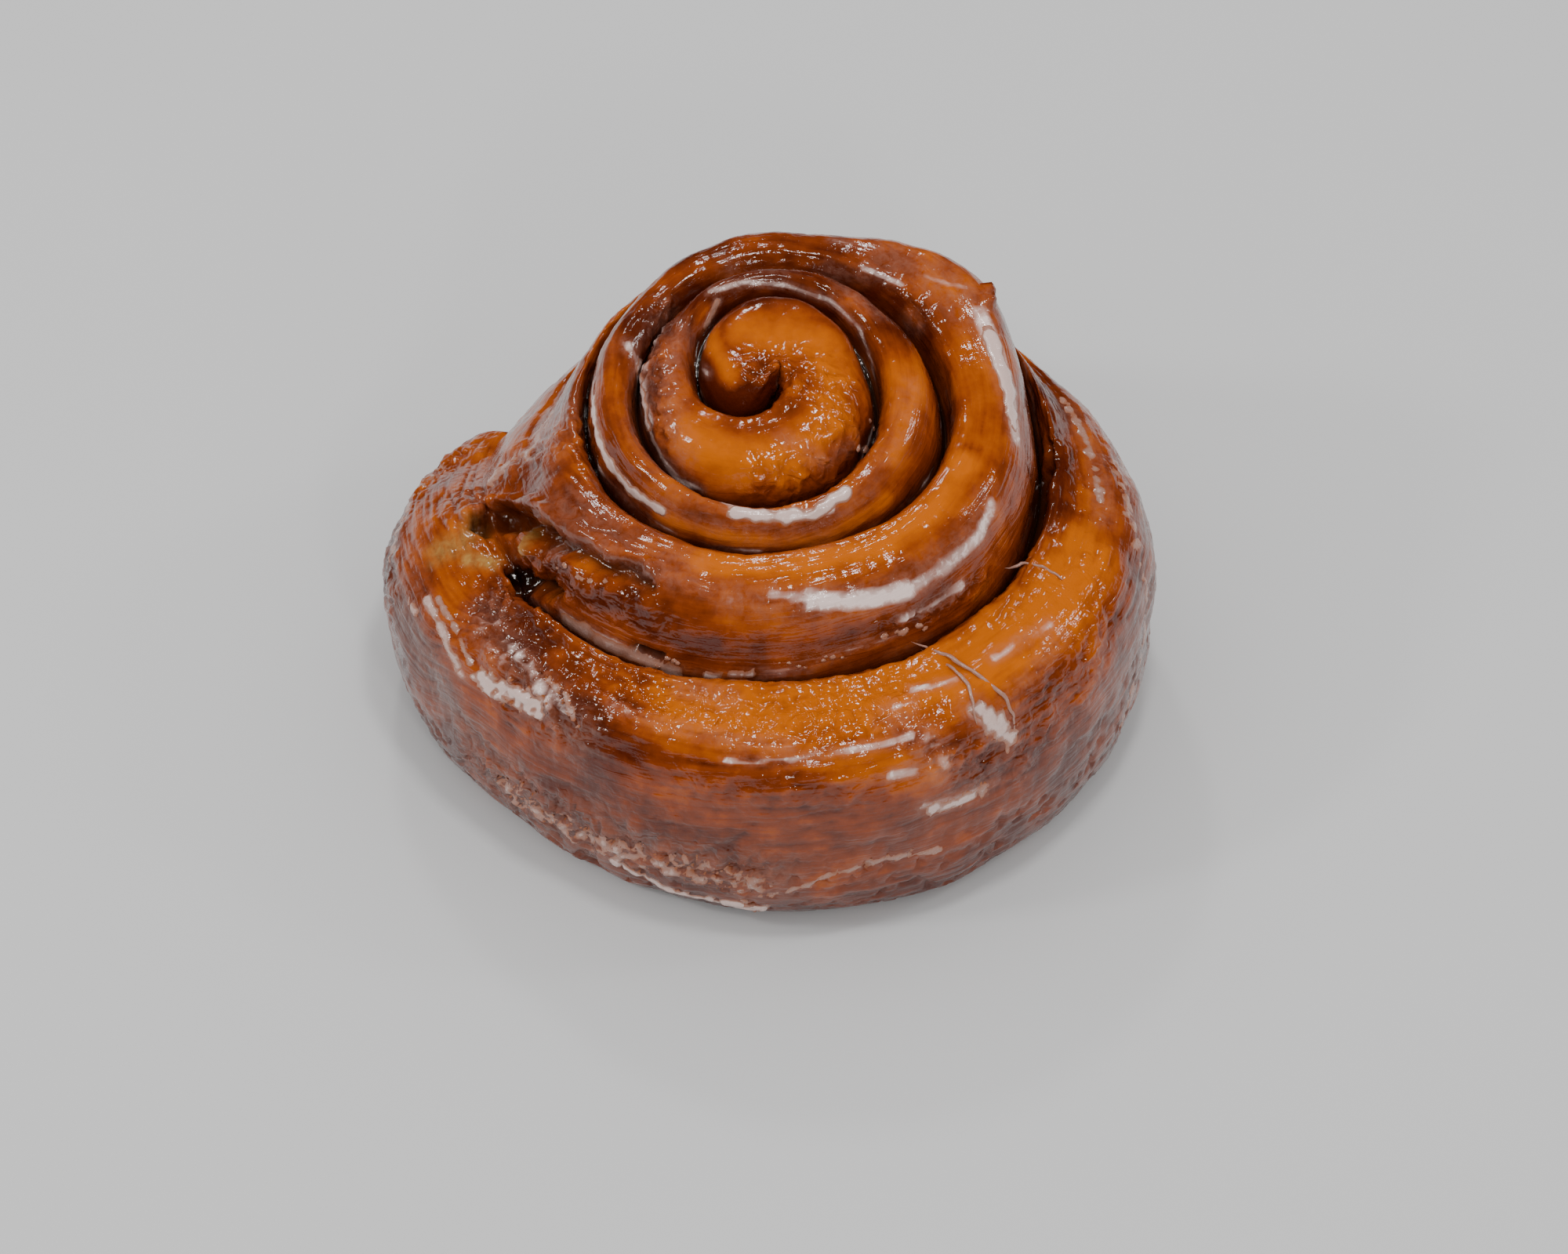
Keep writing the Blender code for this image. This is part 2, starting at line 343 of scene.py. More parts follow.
def gradient_noise(points, seed):
    """Smooth noise between about -1 and 1, at points whose cells are one unit wide."""
    dice = np.random.RandomState(seed)
    table = dice.permutation(256)
    slopes = dice.normal(size=(256, 3))
    slopes /= np.linalg.norm(slopes, axis=1, keepdims=True)
    cell = np.floor(points).astype(int)
    inside = points - cell
    fade = inside**3 * (inside * (inside * 6 - 15) + 10)
    total = np.zeros(points.shape[:-1])
    for corner in itertools.product((0, 1), repeat=3):
        x, y, z = ((cell[..., axis] + corner[axis]) & 255 for axis in range(3))
        slope = slopes[table[(table[(table[x] + y) & 255] + z) & 255]]
        share = np.prod(np.where(np.array(corner), fade, 1 - fade), axis=-1)
        total += share * np.sum(slope * (inside - corner), axis=-1)
    return total * 1.7


def layered_noise(points, seed, layers=3):
    total = np.zeros(points.shape[:-1])
    for layer in range(layers):
        total += gradient_noise(points * 2**layer, seed + layer) / 2**layer
    return total


def creases(points, seed):
    """Rounded folds with sharp valleys between them, from 0 to 1."""
    return np.clip(np.abs(gradient_noise(points, seed)) * 1.6, 0, 1)


# Places given in pixels


def sight_line(x, y):
    """The camera's place and the direction through one pixel."""
    pixels = IMAGE_WIDTH * LENS / SENSOR
    aim = Vector(((x - IMAGE_WIDTH / 2) / pixels, (IMAGE_HEIGHT / 2 - y) / pixels, -1))
    return Vector(CAMERA_PLACE) * MM, (Matrix.Rotation(CAMERA_TILT, 3, "X") @ aim).normalized()


def on_crust(tree, x, y):
    """The place on the crust that shows at a pixel, in millimetres, and its outward direction.

    A pixel just outside the outline moves inward until it meets the crust."""
    for inward in np.linspace(0, MOST_INWARD, 20):
        start, aim = sight_line(*(np.array((x, y)) * (1 - inward) + np.array(ROLL_MIDDLE) * inward))
        place, normal, _, _ = tree.ray_cast(start, aim)
        if place is not None:
            return np.array(place) / MM, np.array(normal)
    raise RuntimeError(f"no crust shows at pixel {x}, {y}")


def path_on_crust(tree, pixels):
    return np.array([on_crust(tree, x, y)[0] for x, y in pixels])


def distance_to_path(points, path):
    """Distance of each point from a line of straight pieces."""
    if len(path) == 1:
        return np.linalg.norm(points - path[0], axis=-1)
    nearest = np.full(points.shape[:-1], np.inf)
    for a, b in zip(path[:-1], path[1:]):
        piece = b - a
        share = np.clip((points - a) @ piece / max(piece @ piece, LEAST_WIDTH), 0, 1)
        gap = np.linalg.norm(points - a - share[..., None] * piece, axis=-1)
        nearest = np.minimum(nearest, gap)
    return nearest


def closeness(points, path, reach):
    """1 along a path, falling smoothly to 0 at this reach."""
    close = np.zeros(len(points))
    box = np.all((points > path.min(axis=0) - reach) & (points < path.max(axis=0) + reach), axis=1)
    close[box] = smooth(np.clip(1 - distance_to_path(points[box], path) / reach, 0, 1))
    return close


# Marks on the crust: each has the pixels that it runs through and how far it reaches, in millimetres

# Amber crowns: pixels, reach, how amber
AMBER = (
    (((900, 395), (905, 440), (930, 475)), 4.2, 1.05),
    (((960, 420), (1050, 440), (1070, 520), (1010, 590), (930, 590), (880, 560)), 9.0, 1.0),
    (((1160, 400), (1172, 490), (1140, 580)), 4.0, 0.85),
    (((1225, 400), (1245, 480), (1240, 560)), 5.0, 0.6),
    (((1230, 590), (1200, 640), (1120, 700), (1000, 722), (900, 715)), 5.5, 1.0),
    (((840, 655), (940, 688), (1040, 690), (1130, 640)), 3.0, 0.95),
    (((1385, 700), (1340, 780), (1240, 850), (1120, 890), (980, 915), (860, 905)), 12.5, 1.15),
    (((760, 900), (820, 930), (900, 930)), 7.0, 0.6),
    (((1040, 960), (1120, 978), (1190, 985)), 9.0, 0.80),
    (((880, 800), (980, 812), (1060, 805)), 3.5, 0.55),
)

# Deeply browned places, partly painted shade on walls and sides that face away from the light: pixels, reach,
# how much darker
BROWNED_AND_SHADED = (
    (((830, 430), (900, 372), (1000, 348), (1100, 372), (1150, 420)), 8.0, 0.75),
    (((705, 600), (740, 520), (790, 440), (860, 370)), 7.0, 0.15),
    (((880, 330), (960, 318), (1080, 322), (1150, 335)), 5.0, 0.45),
    (((500, 700), (520, 800), (560, 880)), 8.0, 0.30),
    (((620, 620), (680, 600), (740, 640), (800, 680)), 9.0, 0.22),
    (((640, 780), (690, 860), (770, 930)), 10.0, 0.40),
    (((700, 720), (780, 770), (860, 810), (960, 835)), 5.0, 0.38),
    (((1330, 480), (1352, 560), (1350, 660)), 6.0, 0.45),
    (((830, 480), (830, 560), (880, 620)), 4.0, 0.30),
    (((900, 470), (930, 515), (985, 500)), 3.5, 0.45),
    (((960, 832), (1060, 822), (1160, 785), (1240, 735)), 4.0, 0.22),
    (((1430, 640), (1450, 760), (1420, 900), (1350, 1000)), 10.0, 0.15),
)

# Torn and sunk places: pixels, reach, depth, how dark, which is painted shade in the hollow. A depth below 0
# is a raised edge.
TORN = (
    (((600, 655), (632, 640), (676, 642), (722, 668), (770, 694), (832, 728)), 2.0, -1.1, 0.0),
    (((616, 672), (640, 664), (666, 666), (690, 682)), 2.9, 2.8, 0.62),
    (((696, 690), (735, 706), (775, 722), (828, 742)), 1.8, 1.6, 0.60),
    (((660, 734), (682, 748), (704, 757)), 2.3, 4.0, 1.0),
    (((812, 830), (840, 838)), 1.3, 1.6, 1.0),
    (((668, 672), (672, 706)), 1.3, -1.4, 0.0),
    (((702, 722), (726, 716), (742, 742)), 2.0, -0.8, 0.0),
    (((756, 752), (790, 758)), 1.8, -0.7, 0.0),
    (((1338, 575), (1330, 640), (1318, 690)), 3.0, 1.5, 0.4),
    (((1262, 374), (1256, 384)), 1.5, -1.3, 0.0),
    (((748, 1076), (752, 1100)), 3.0, 0.9, 0.0),
)

# Crumpled skin: pixels, reach, height of the folds
CRUMPLED = (
    (((600, 640), (660, 590), (740, 560)), 9.0, 0.6),
    (((640, 770), (660, 860), (720, 920)), 12.0, 1.0),
    (((690, 720), (770, 760), (840, 790)), 5.0, 1.0),
    (((1150, 890), (1200, 960), (1250, 980)), 8.0, 1.0),
    (((1290, 980), (1360, 890), (1405, 800)), 9.0, 0.75),
    (((880, 1000), (1020, 1020), (1150, 1005)), 7.0, 0.45),
    (((800, 880), (880, 905), (960, 920), (1110, 905)), 9.0, 0.85),
    (((1080, 860), (1180, 840)), 5.0, 0.4),
    (((620, 980), (760, 1060), (940, 1110)), 11.0, 1.0),
    (((850, 400), (832, 480), (845, 550)), 5.0, 0.9),
    (((970, 480), (1050, 480), (1085, 540), (1040, 600), (980, 610)), 7.5, 1.0),
    (((1350, 560), (1390, 640), (1400, 720)), 6.0, 0.5),
    (((1300, 780), (1330, 850), (1300, 900)), 5.0, 0.4),
    (((1130, 800), (1190, 780), (1250, 740)), 3.0, 0.9),
    (((500, 760), (495, 690), (530, 620), (580, 580)), 7.0, 0.8),
    (((1100, 350), (1150, 370), (1180, 400)), 4.0, 0.5),
)

# Dried sugar that stands on the crust, whose white patches also stand for painted highlights of the wet
# glaze: pixels, reach, thickness, how much of it is covered, size of its marks
FILMS_AND_HIGHLIGHTS = (
    (((915, 385), (903, 412), (899, 440)), 1.0, 0.20, 0.8, 2.0),
    (((941, 654), (990, 660), (1040, 656), (1078, 628)), 1.8, 0.38, 0.95, 3.0),
    (((757, 512), (760, 545), (774, 585), (803, 625), (845, 652)), 1.5, 0.38, 0.95, 2.5),
    (((816, 462), (819, 500), (828, 545)), 1.3, 0.34, 0.95, 2.5),
    (((1264, 432), (1281, 478), (1292, 540)), 2.1, 0.50, 0.95, 3.0),
    (((722, 790), (765, 815), (800, 832), (862, 858)), 2.0, 0.26, 0.8, 3.0),
    (((900, 862), (960, 858)), 1.0, 0.40, 0.6, 1.4),
    (((1250, 908), (1270, 922), (1288, 940)), 2.8, 0.34, 0.85, 1.6),
    (((1190, 1032), (1222, 1024), (1252, 1008)), 1.8, 0.38, 0.80, 1.6),
    (((612, 868), (650, 885), (684, 902)), 3.4, 0.40, 0.75, 1.5),
    (((700, 868), (722, 890), (736, 925)), 1.3, 0.28, 0.6, 1.4),
    (((545, 765), (562, 800), (584, 850)), 1.4, 0.30, 0.85, 2.2),
    (((522, 768), (530, 780)), 1.6, 0.30, 0.7, 1.6),
    (((560, 765), (580, 800), (600, 845)), 1.0, 0.25, 0.7, 1.8),
    (((500, 700), (520, 640), (560, 600)), 4.0, 0.25, 0.35, 1.2),
    (((650, 1010), (730, 1062), (850, 1105), (960, 1130)), 7.0, 0.30, 0.28, 1.6),
    (((780, 1098), (860, 1138), (950, 1155)), 1.5, 0.45, 0.75, 2.5),
    (((930, 1152), (968, 1158)), 2.2, 0.80, 1.0, 3.0),
    (((985, 1140), (1060, 1116), (1130, 1096), (1195, 1084)), 1.3, 0.22, 0.65, 2.5),
    (((1420, 590), (1445, 680), (1460, 800), (1440, 930)), 3.5, 0.22, 0.38, 1.4),
    (((1355, 510), (1385, 560), (1405, 640)), 1.6, 0.25, 0.5, 1.4),
)

# Thin sugar veil that tints the crust, and painted highlights and painted reflections where the wet glaze
# gleams: pixels, reach, amount
VEIL_AND_SHEEN = (
    (((905, 372), (950, 360), (1000, 364), (1060, 385), (1096, 420), (1110, 465), (1115, 530)), 1.4, 0.75),
    (((915, 385), (903, 412), (899, 442)), 1.4, 0.9),
    (((885, 462), (905, 478)), 1.6, 0.6),
    (((930, 342), (990, 345), (1060, 352), (1110, 350)), 3.0, 0.35),
    (((1060, 352), (1080, 372), (1120, 395), (1165, 415)), 3.5, 0.5),
    (((800, 440), (815, 500), (830, 555), (870, 615), (941, 654), (1000, 660), (1060, 650)), 1.9, 0.85),
    (((812, 460), (822, 500), (830, 540)), 2.4, 0.7),
    (((757, 490), (760, 540), (774, 585), (803, 625), (845, 652)), 1.8, 0.95),
    (((690, 660), (760, 690), (840, 715)), 4.0, 0.40),
    (((700, 700), (720, 690), (770, 706), (828, 735)), 2.4, 0.55),
    (((1250, 400), (1284, 480), (1300, 560)), 3.6, 0.85),
    (((1225, 380), (1262, 400)), 3.0, 0.5),
    (((930, 766), (1000, 772), (1060, 774), (1112, 766), (1180, 728), (1232, 692), (1264, 640)), 4.2, 0.52),
    (((1036, 765), (1080, 768), (1128, 762), (1156, 753)), 3.5, 1.08),
    (((985, 758), (1036, 765)), 2.2, 0.80),
    (((1150, 754), (1204, 728), (1248, 686), (1266, 645)), 2.8, 0.86),
    (((1150, 788), (1190, 772), (1225, 745)), 2.0, 0.8),
    (((925, 970), (1005, 972), (1060, 960), (1130, 950), (1165, 938)), 1.5, 0.85),
    (((1138, 990), (1168, 986)), 2.2, 0.9),
    (((1162, 880), (1200, 872), (1220, 866)), 1.6, 0.8),
    (((1140, 900), (1168, 896)), 1.2, 0.75),
    (((820, 725), (880, 745), (940, 758)), 3.5, 0.45),
    (((1305, 460), (1318, 540), (1322, 640)), 1.2, 0.6),
    (((715, 782), (765, 813), (800, 830), (862, 856)), 2.6, 0.8),
    (((900, 862), (1000, 852), (1060, 840), (1100, 825), (1145, 812)), 1.6, 0.65),
    (((510, 700), (530, 800), (590, 920), (680, 1030)), 8.0, 0.50),
    (((620, 1000), (720, 1060), (850, 1100), (980, 1120)), 9.0, 0.44),
    (((1420, 560), (1450, 680), (1462, 800), (1440, 940)), 6.0, 0.14),
    (((1360, 520), (1400, 580), (1410, 660)), 3.0, 0.5),
    (((600, 640), (640, 590), (700, 560)), 6.0, 0.35),
    (((1170, 350), (1220, 365), (1262, 385)), 1.6, 0.6),
    (((1060, 306), (1120, 318)), 1.4, 0.6),
    (((1100, 342), (1150, 362)), 1.4, 0.8),
    (((620, 790), (650, 850), (680, 890), (735, 925)), 7.0, 0.62),
    (((870, 878), (930, 892)), 3.0, 0.55),
    (((850, 400), (832, 450), (824, 520)), 4.0, 0.65),
    (((866, 420), (852, 470), (852, 530), (872, 585)), 4.5, 0.45),
    (((850, 645), (941, 676), (1000, 682), (1062, 666), (1112, 628)), 2.4, 0.42),
    (((806, 540), (850, 625), (941, 668), (1020, 672), (1090, 640), (1145, 570), (1165, 490)), 3.2, 0.26),
    (((1130, 325), (1190, 350), (1245, 400)), 6.0, 0.45),
    (((700, 600), (730, 520), (770, 450)), 5.0, 0.35),
    (((720, 640), (800, 700), (870, 725)), 6.0, 0.40),
    (((860, 655), (960, 688), (1060, 680)), 3.0, 0.42),
    (((650, 820), (680, 870), (720, 905)), 4.0, 0.80),
    (((1240, 905), (1270, 930), (1288, 945)), 4.0, 0.70),
    (((1180, 1030), (1220, 1020), (1258, 1005)), 3.0, 0.7),
    (((1268, 838), (1300, 820), (1340, 796)), 2.0, 0.85),
    (((545, 765), (562, 800), (590, 860)), 2.6, 0.7),
    (((780, 900), (860, 928), (930, 945), (1010, 950)), 2.2, 0.58),
    (((1140, 915), (1180, 945), (1215, 985)), 4.5, 0.58),
    (((1280, 900), (1320, 860), (1350, 810)), 3.0, 0.50),
    (((1000, 560), (1050, 590), (1090, 560)), 2.5, 0.45),
)

# Threads of sugar that lie on the crust: pixels, half width
THREADS = (
    (((1160, 817), (1205, 835), (1245, 860), (1275, 885), (1290, 910), (1295, 940)), 0.30),
    (((1175, 827), (1210, 850), (1235, 875), (1240, 900), (1246, 925)), 0.26),
    (((1280, 725), (1310, 720), (1340, 730), (1355, 740)), 0.24),
)

# Sticky crumbs: pixels that they lie along, how many, size of the largest
CRUMBS = (
    (((1128, 818), (1150, 806), (1176, 796)), 7, 1.5),
    (((1050, 842), (1066, 836), (1080, 836)), 4, 1.0),
    (((838, 846), (860, 842), (872, 852)), 5, 1.4),
    (((975, 852), (1030, 846)), 4, 0.8),
    (((1095, 570), (1104, 580)), 2, 1.4),
    (((1106, 536), (1114, 546)), 3, 1.1),
    (((690, 706), (720, 726), (770, 744)), 7, 1.1),
    (((935, 1150), (965, 1156)), 5, 1.5),
)

# Pale dough that shows where the crust is torn: pixels, reach, how pale
DOUGH = (
    (((556, 704), (585, 692), (606, 676)), 3.6, 0.60),
    (((596, 712), (628, 716)), 2.2, 0.85),
    (((668, 674), (671, 702)), 1.4, 0.80),
)

# Relief of the crust. Lengths, widths and places are in millimetres, the others are shares.
LUMP_LENGTH = 12.0
WRINKLE_ALONG = 13.0
WRINKLE_ACROSS = 1.8
WRINKLED_LENGTH = 14.0
LEAST_WRINKLED = 0.35
FOLD_LENGTH = 2.6
FINE_FOLD_LENGTH = 1.3
FOLD_LEVEL = 0.8
WARP_LENGTH = 5.0
WARP = 1.2
PATCH_LENGTH = 16.0
PATCH_HEIGHT = 0.30
PIT_LENGTH = 1.7
PIT_TOP = 26.0
PIT_FADE = 14.0
PITS_ABOVE = 0.15
GRAIN_LENGTH = 0.9
LIP_WIDTH = 2.2
CRINKLE_LENGTH = 2.1
FOOT_FADE = 3.0

# How unevenly a torn place is outlined, in millimetres
RAGGED = 0.8
RAGGED_LENGTH = 3.0

# Where relief comes in along the winding, in turns: how long before the last turn the crumpled side and its
# veil start, where the edges start to crinkle, and where the strip is drawn out enough to wrinkle
SIDE_LEAD = 0.5
VEIL_LEAD = 0.6
CRINKLED_FROM = 1.5
DRAWN_FROM = 0.4
DRAWN_RAMP = 0.8

# How amber the crust is where no mark lies, and what its form changes: crust that faces up is painted
# lighter, a painted light from above; fold crests are painted lighter and fold valleys darker, a painted
# light and shade; and the crust is darker towards the bottom. Lengths are in millimetres.
PLAIN_AMBER = 0.28
UPWARD_LIGHT = 0.30
UNEVEN_AMBER = 0.20
UNEVEN_LENGTH = 9.0
FOLD_LIGHT_AND_SHADE = 0.30
LIP_BROWNING = 0.25
LIP_BROWNED = 2.4
LOW_DARKENING = 0.12
LOW_HEIGHT = 20.0

# How far the dark filling and painted shade of a groove reach on either side of the seam, in millimetres
INNER_FILLING_AND_SHADE = 1.0
OUTER_FILLING_AND_SHADE = 1.3

# Thin sugar where no mark lies: everywhere, on steep sides, where it is partly a painted reflection of the
# pale floor, over folds, where it is a painted light on their crests, and the width over which it fades from
# west to east. Pale sugar with a painted highlight also lies along each turn's outer edge. Widths are in
# millimetres.
PLAIN_VEIL = 0.02
STEEP_VEIL_AND_SHEEN = 0.06
FOLD_SHEEN = 0.5
VEIL_SPREAD = 60.0
RIM_SHEEN_PLACE = 2.2
RIM_SHEEN_WIDTH = 0.7

# Fine wrinkles in the material, which run along the strip: length and width in millimetres
FINE_WRINKLE_LENGTH = 7.0
FINE_WRINKLE_WIDTH = 0.8

# Shares of mottle and fine wrinkles in the crust's tone, their usual sum, and how fully sugar covers it, the
# white also standing for painted highlights
MOTTLE_TONE = 0.8
WRINKLE_TONE = 0.28
USUAL_TONE = 0.52
LILAC_COVER = 0.8
FROST_AND_HIGHLIGHT_COVER = 0.9

# Films of dried sugar: softness of the edge, how much of the thickness stands up, how far a film is sunk, how
# far round it the crust is copied, and what is fully white
FILM_EDGE = 0.75
FILM_RISE = 0.55
FILM_BURIED = 0.03
FILM_MARGIN = 0.6
THICK_SUGAR = 0.35

# Threads and crumbs of sugar. The spread of the crumbs about their line is in pixels.
THREAD_SIDES = 8
THREAD_WAVE = 0.25
THREAD_WAVE_LENGTH = 2.0
THREAD_WHITENESS = 0.62
CRUMB_WHITENESS = 0.35
CRUMB_NARROWNESS = 0.8
CRUMB_FLATNESS = 0.55
CRUMB_SPREAD = 6

# Sugar marks on the side away from the photograph: angles from +X in radians, heights and the distance that
# they are sought from in millimetres, and how many there are
BACK_ANGLES = (0.15, 3.0)
BACK_HEIGHTS = (4, 44)
BACK_DISTANCE = 120
BACK_MARKS = 26

# Seeds of the noise and the dice
LUMP_SEED = 1
WRINKLED_SEED = 5
PATCH_SEED = 6
WARP_SEEDS = (11, 12, 13)
WRINKLE_SEED = 21
FOLD_SEED = 31
FINE_FOLD_SEED = 32
PIT_SEED = 41
GRAIN_SEED = 51
CRINKLE_SEED = 61
TORN_SEEDS = (71, 73, 75)
AMBER_SEED = 81
PLAIN_VEIL_SEED = 91
VEIL_SEED = 95
DOUGH_SEED = 97
RIM_SEED = 99
FILM_SEED = 200
BACK_SEED = 400
CRUMB_SEED = 500

# The studio, in millimetres. Each lamp has its setting, place, target, size and share of the setting.
FLOOR_REACH = 900
LAMPS = {
    "overhead_light": ("overhead", (50, -40, 560), (0, 0, 30), 65, 1.0),
    "left_light": ("side", (-430, -110, 400), (0, 0, 20), 70, 1.0),
    "right_light": ("side", (450, 60, 380), (0, 0, 20), 60, 0.45),
    "back_light": ("side", (-90, 430, 470), (0, 0, 40), 60, 0.8),
    "front_light": ("front", (140, -500, 400), (0, 0, 20), 60, 1.0),
}


def even_times(start, end, step):
    """Places along the strip whose rows stand this far apart at its outer edge."""
    t = np.linspace(start, end, 3000)
    x, y = np.where(t <= SEAM_END, seam_point(t), outward(t, side_value(REACH, t)))
    length = np.concatenate([[0], np.cumsum(np.hypot(np.diff(x), np.diff(y)))])
    rows = int(round(length[-1] / step))
    return np.interp(np.linspace(0, length[-1], rows + 1), length, t)


def running_length(grid):
    """Distance along each row of a grid of points from its first point."""
    steps = np.linalg.norm(np.diff(grid, axis=1), axis=2)
    return np.concatenate([np.zeros((len(grid), 1)), np.cumsum(steps, axis=1)], axis=1)


def grid_faces(numbers):
    """Faces of a grid of corner numbers, where repeated corners are dropped."""
    quads = np.stack([numbers[:-1, :-1], numbers[1:, :-1], numbers[1:, 1:], numbers[:-1, 1:]], -1)
    quads = [list(dict.fromkeys(quad)) for quad in quads.reshape(-1, 4).tolist()]
    return [face for face in quads if len(face) > 2]


def corner_numbers(grid, start):
    """Numbers of a grid's corners, counted on from start."""
    return start + np.arange(grid.shape[0] * grid.shape[1]).reshape(grid.shape[:2])


def joined_faces(top, side, foot, times, first):
    """Faces of the top, the side and the foot, which share their corners where they meet."""
    number = corner_numbers(top, 0)
    side_number = corner_numbers(side, number.size)
    foot_number = corner_numbers(foot, number.size + side_number.size)
    number[0] = number[0, -1]
    number[times - 1 <= SEAM_START, 0] = number[0, -1]
    number[-1] = number[first, -1]
    side_number[:, 0] = number[first:, -1]
    side_number[-1] = side_number[0]
    foot_number[:, 0] = side_number[:, -1]
    foot_number[-1] = foot_number[0]
    foot_number[:, -1] = foot_number[0, -1]
    return grid_faces(number) + grid_faces(side_number) + grid_faces(foot_number)


def joined(*grids):
    """One row of what stands in several grids."""
    return np.concatenate([grid.reshape(-1, *grid.shape[2:]) for grid in grids])


def without_unused(crust, faces):
    """The crust with these faces, and with only the points that they use."""
    used = np.unique(np.concatenate([np.array(face) for face in faces]))
    renumber = np.zeros(len(crust["points"]), int)
    renumber[used] = np.arange(len(used))
    crust = {name: value[used] for name, value in crust.items()}
    crust["faces"] = [renumber[face].tolist() for face in faces]
    return crust


def crust_strip(step, across, side_rows, foot_rings):
    """Points, faces and places along the strip for the whole crust, in millimetres."""
    wound_times = even_times(SEAM_START, SEAM_END, step)
    last_times = even_times(SEAM_END, SEAM_END + 1, step)
    times = np.concatenate([wound_times[:-1], last_times])
    first = len(wound_times) - 1
    t, v = np.meshgrid(times, np.linspace(0, 1, across + 1), indexing="ij")
    top = joined_top(t, v)
    t_side, stage = np.meshgrid(last_times, np.linspace(SHOULDER, 3, side_rows + 1), indexing="ij")
    side = side_surface(t_side, stage)
    foot = side[:, -1:] * np.linspace(1, 0, foot_rings + 1)[None, :, None]
    t_foot = np.repeat(last_times[:, None], foot_rings + 1, axis=1)

    w_top = running_length(top)
    w_side = running_length(side) + w_top[first:, -1:]
    w_foot = running_length(foot) + w_side[:, -1:]
    to_outer = np.where(t >= SEAM_END, FAR, w_top[:, -1:] - w_top)
    to_inner = np.where(t - 1 < SEAM_START, FAR, w_top)
    crust = {
        "points": joined(top, side, foot),
        "t": joined(t, t_side, t_foot),
        "across": joined(w_top, w_side, w_foot),
        "to_inner": joined(to_inner, w_side, w_foot),
        "to_outer": joined(to_outer, np.full(t_side.shape, FAR), np.full(t_foot.shape, FAR)),
        "foot": joined(np.zeros_like(t), np.zeros_like(t_side), np.ones_like(t_foot)),
    }
    crust["along"] = np.interp(crust["t"], times, running_length(top[:, -1][None])[0])
    crust = without_unused(crust, joined_faces(top, side, foot, times, first))
    crust["points"] = crust["points"] - solid_shift()
    return crust


def placed(name, data):
    """An object in the scene that holds this mesh, light or camera."""
    made = bpy.data.objects.new(name, data)
    bpy.context.scene.collection.objects.link(made)
    return made


def mesh_object(name, points, faces):
    """A smooth-shaded mesh object from points in millimetres."""
    mesh = bpy.data.meshes.new(name)
    mesh.from_pydata((np.asarray(points) * MM).tolist(), [], faces)
    mesh.validate()
    mesh.shade_smooth()
    return placed(name, mesh)


def keep_on_points(mesh, name, kind, field, values):
    """Keeps a value for each point of a mesh, which its material reads by name."""
    kept = mesh.attributes.new(name, kind, "POINT")
    kept.data.foreach_set(field, values.astype(np.float32).ravel())


def outward_directions(mesh):
    normals = np.zeros(len(mesh.vertices) * 3, np.float32)
    mesh.vertices.foreach_get("normal", normals)
    return normals.reshape(-1, 3).astype(float)


def surface_tree(piece):
    """The piece's surface, for lines of sight."""
    return BVHTree.FromObject(piece, bpy.context.evaluated_depsgraph_get())


def seam_fade(crust):
    """0 at a seam, rising to 1 beside it, so that two turns keep meeting."""
    return smooth(np.clip(np.minimum(crust["to_inner"], crust["to_outer"]) / SEAM_FADE, 0, 1))


def tail_fade(crust):
    """0 where the strip closes on its own start, 1 elsewhere."""
    last = np.abs(crust["t"] - SEAM_END - 0.5)
    return 1 - smooth(ramp(last, 0.5 - TAIL_FADE, TAIL_FADE)) * (last <= 0.5)


def most(points, marks, tree):
    """The strongest of several marks at each point: each has pixels, a reach and a strength."""
    strongest = np.zeros(len(points))
    for pixels, reach, strength in marks:
        path = path_on_crust(tree, pixels)
        strongest = np.maximum(strongest, strength * closeness(points, path, reach))
    return strongest


def started(crust):
    """0 at the tongue, rising to 1 where the strip has been drawn out."""
    return smooth(ramp(crust["t"], DRAWN_FROM, DRAWN_RAMP))


def last_turn(crust, lead):
    """0 on the inner turns, rising to 1 over a turn that starts this long before the last one."""
    return ramp(crust["t"], SEAM_END - lead, 1)


def moved_about(points, length, distance, seeds, layers=3):
    """Points moved by smooth noise, so that what is drawn at them is uneven."""
    return points + distance * np.stack([layered_noise(points / length, seed, layers) for seed in seeds], -1)


def wrinkle_valleys(crust):
    """Valleys that run along the strip, from 0 to 1."""
    points = crust["points"]
    flat = np.zeros(len(points))
    strip = np.stack([crust["along"] / WRINKLE_ALONG, crust["across"] / WRINKLE_ACROSS, flat], -1)
    more = 1 - LEAST_WRINKLED
    patchy = smooth(np.clip(gradient_noise(points / WRINKLED_LENGTH, WRINKLED_SEED) + 0.5, 0, 1))
    wrinkled = (LEAST_WRINKLED + more * patchy) * (LEAST_WRINKLED + more * last_turn(crust, SIDE_LEAD))
    return (1 - creases(strip, WRINKLE_SEED)) ** 3 * wrinkled * started(crust)


def crumpled_skin(crust, tree):
    """How crumpled the skin is at each point, by its marks and in loose patches on the last turn."""
    points = crust["points"]
    patches = np.clip(gradient_noise(points / PATCH_LENGTH, PATCH_SEED) * 1.2 + 0.2, 0, 1)
    patches = PATCH_HEIGHT * smooth(patches) * last_turn(crust, SIDE_LEAD)
    return np.maximum(patches, most(points, CRUMPLED, tree))


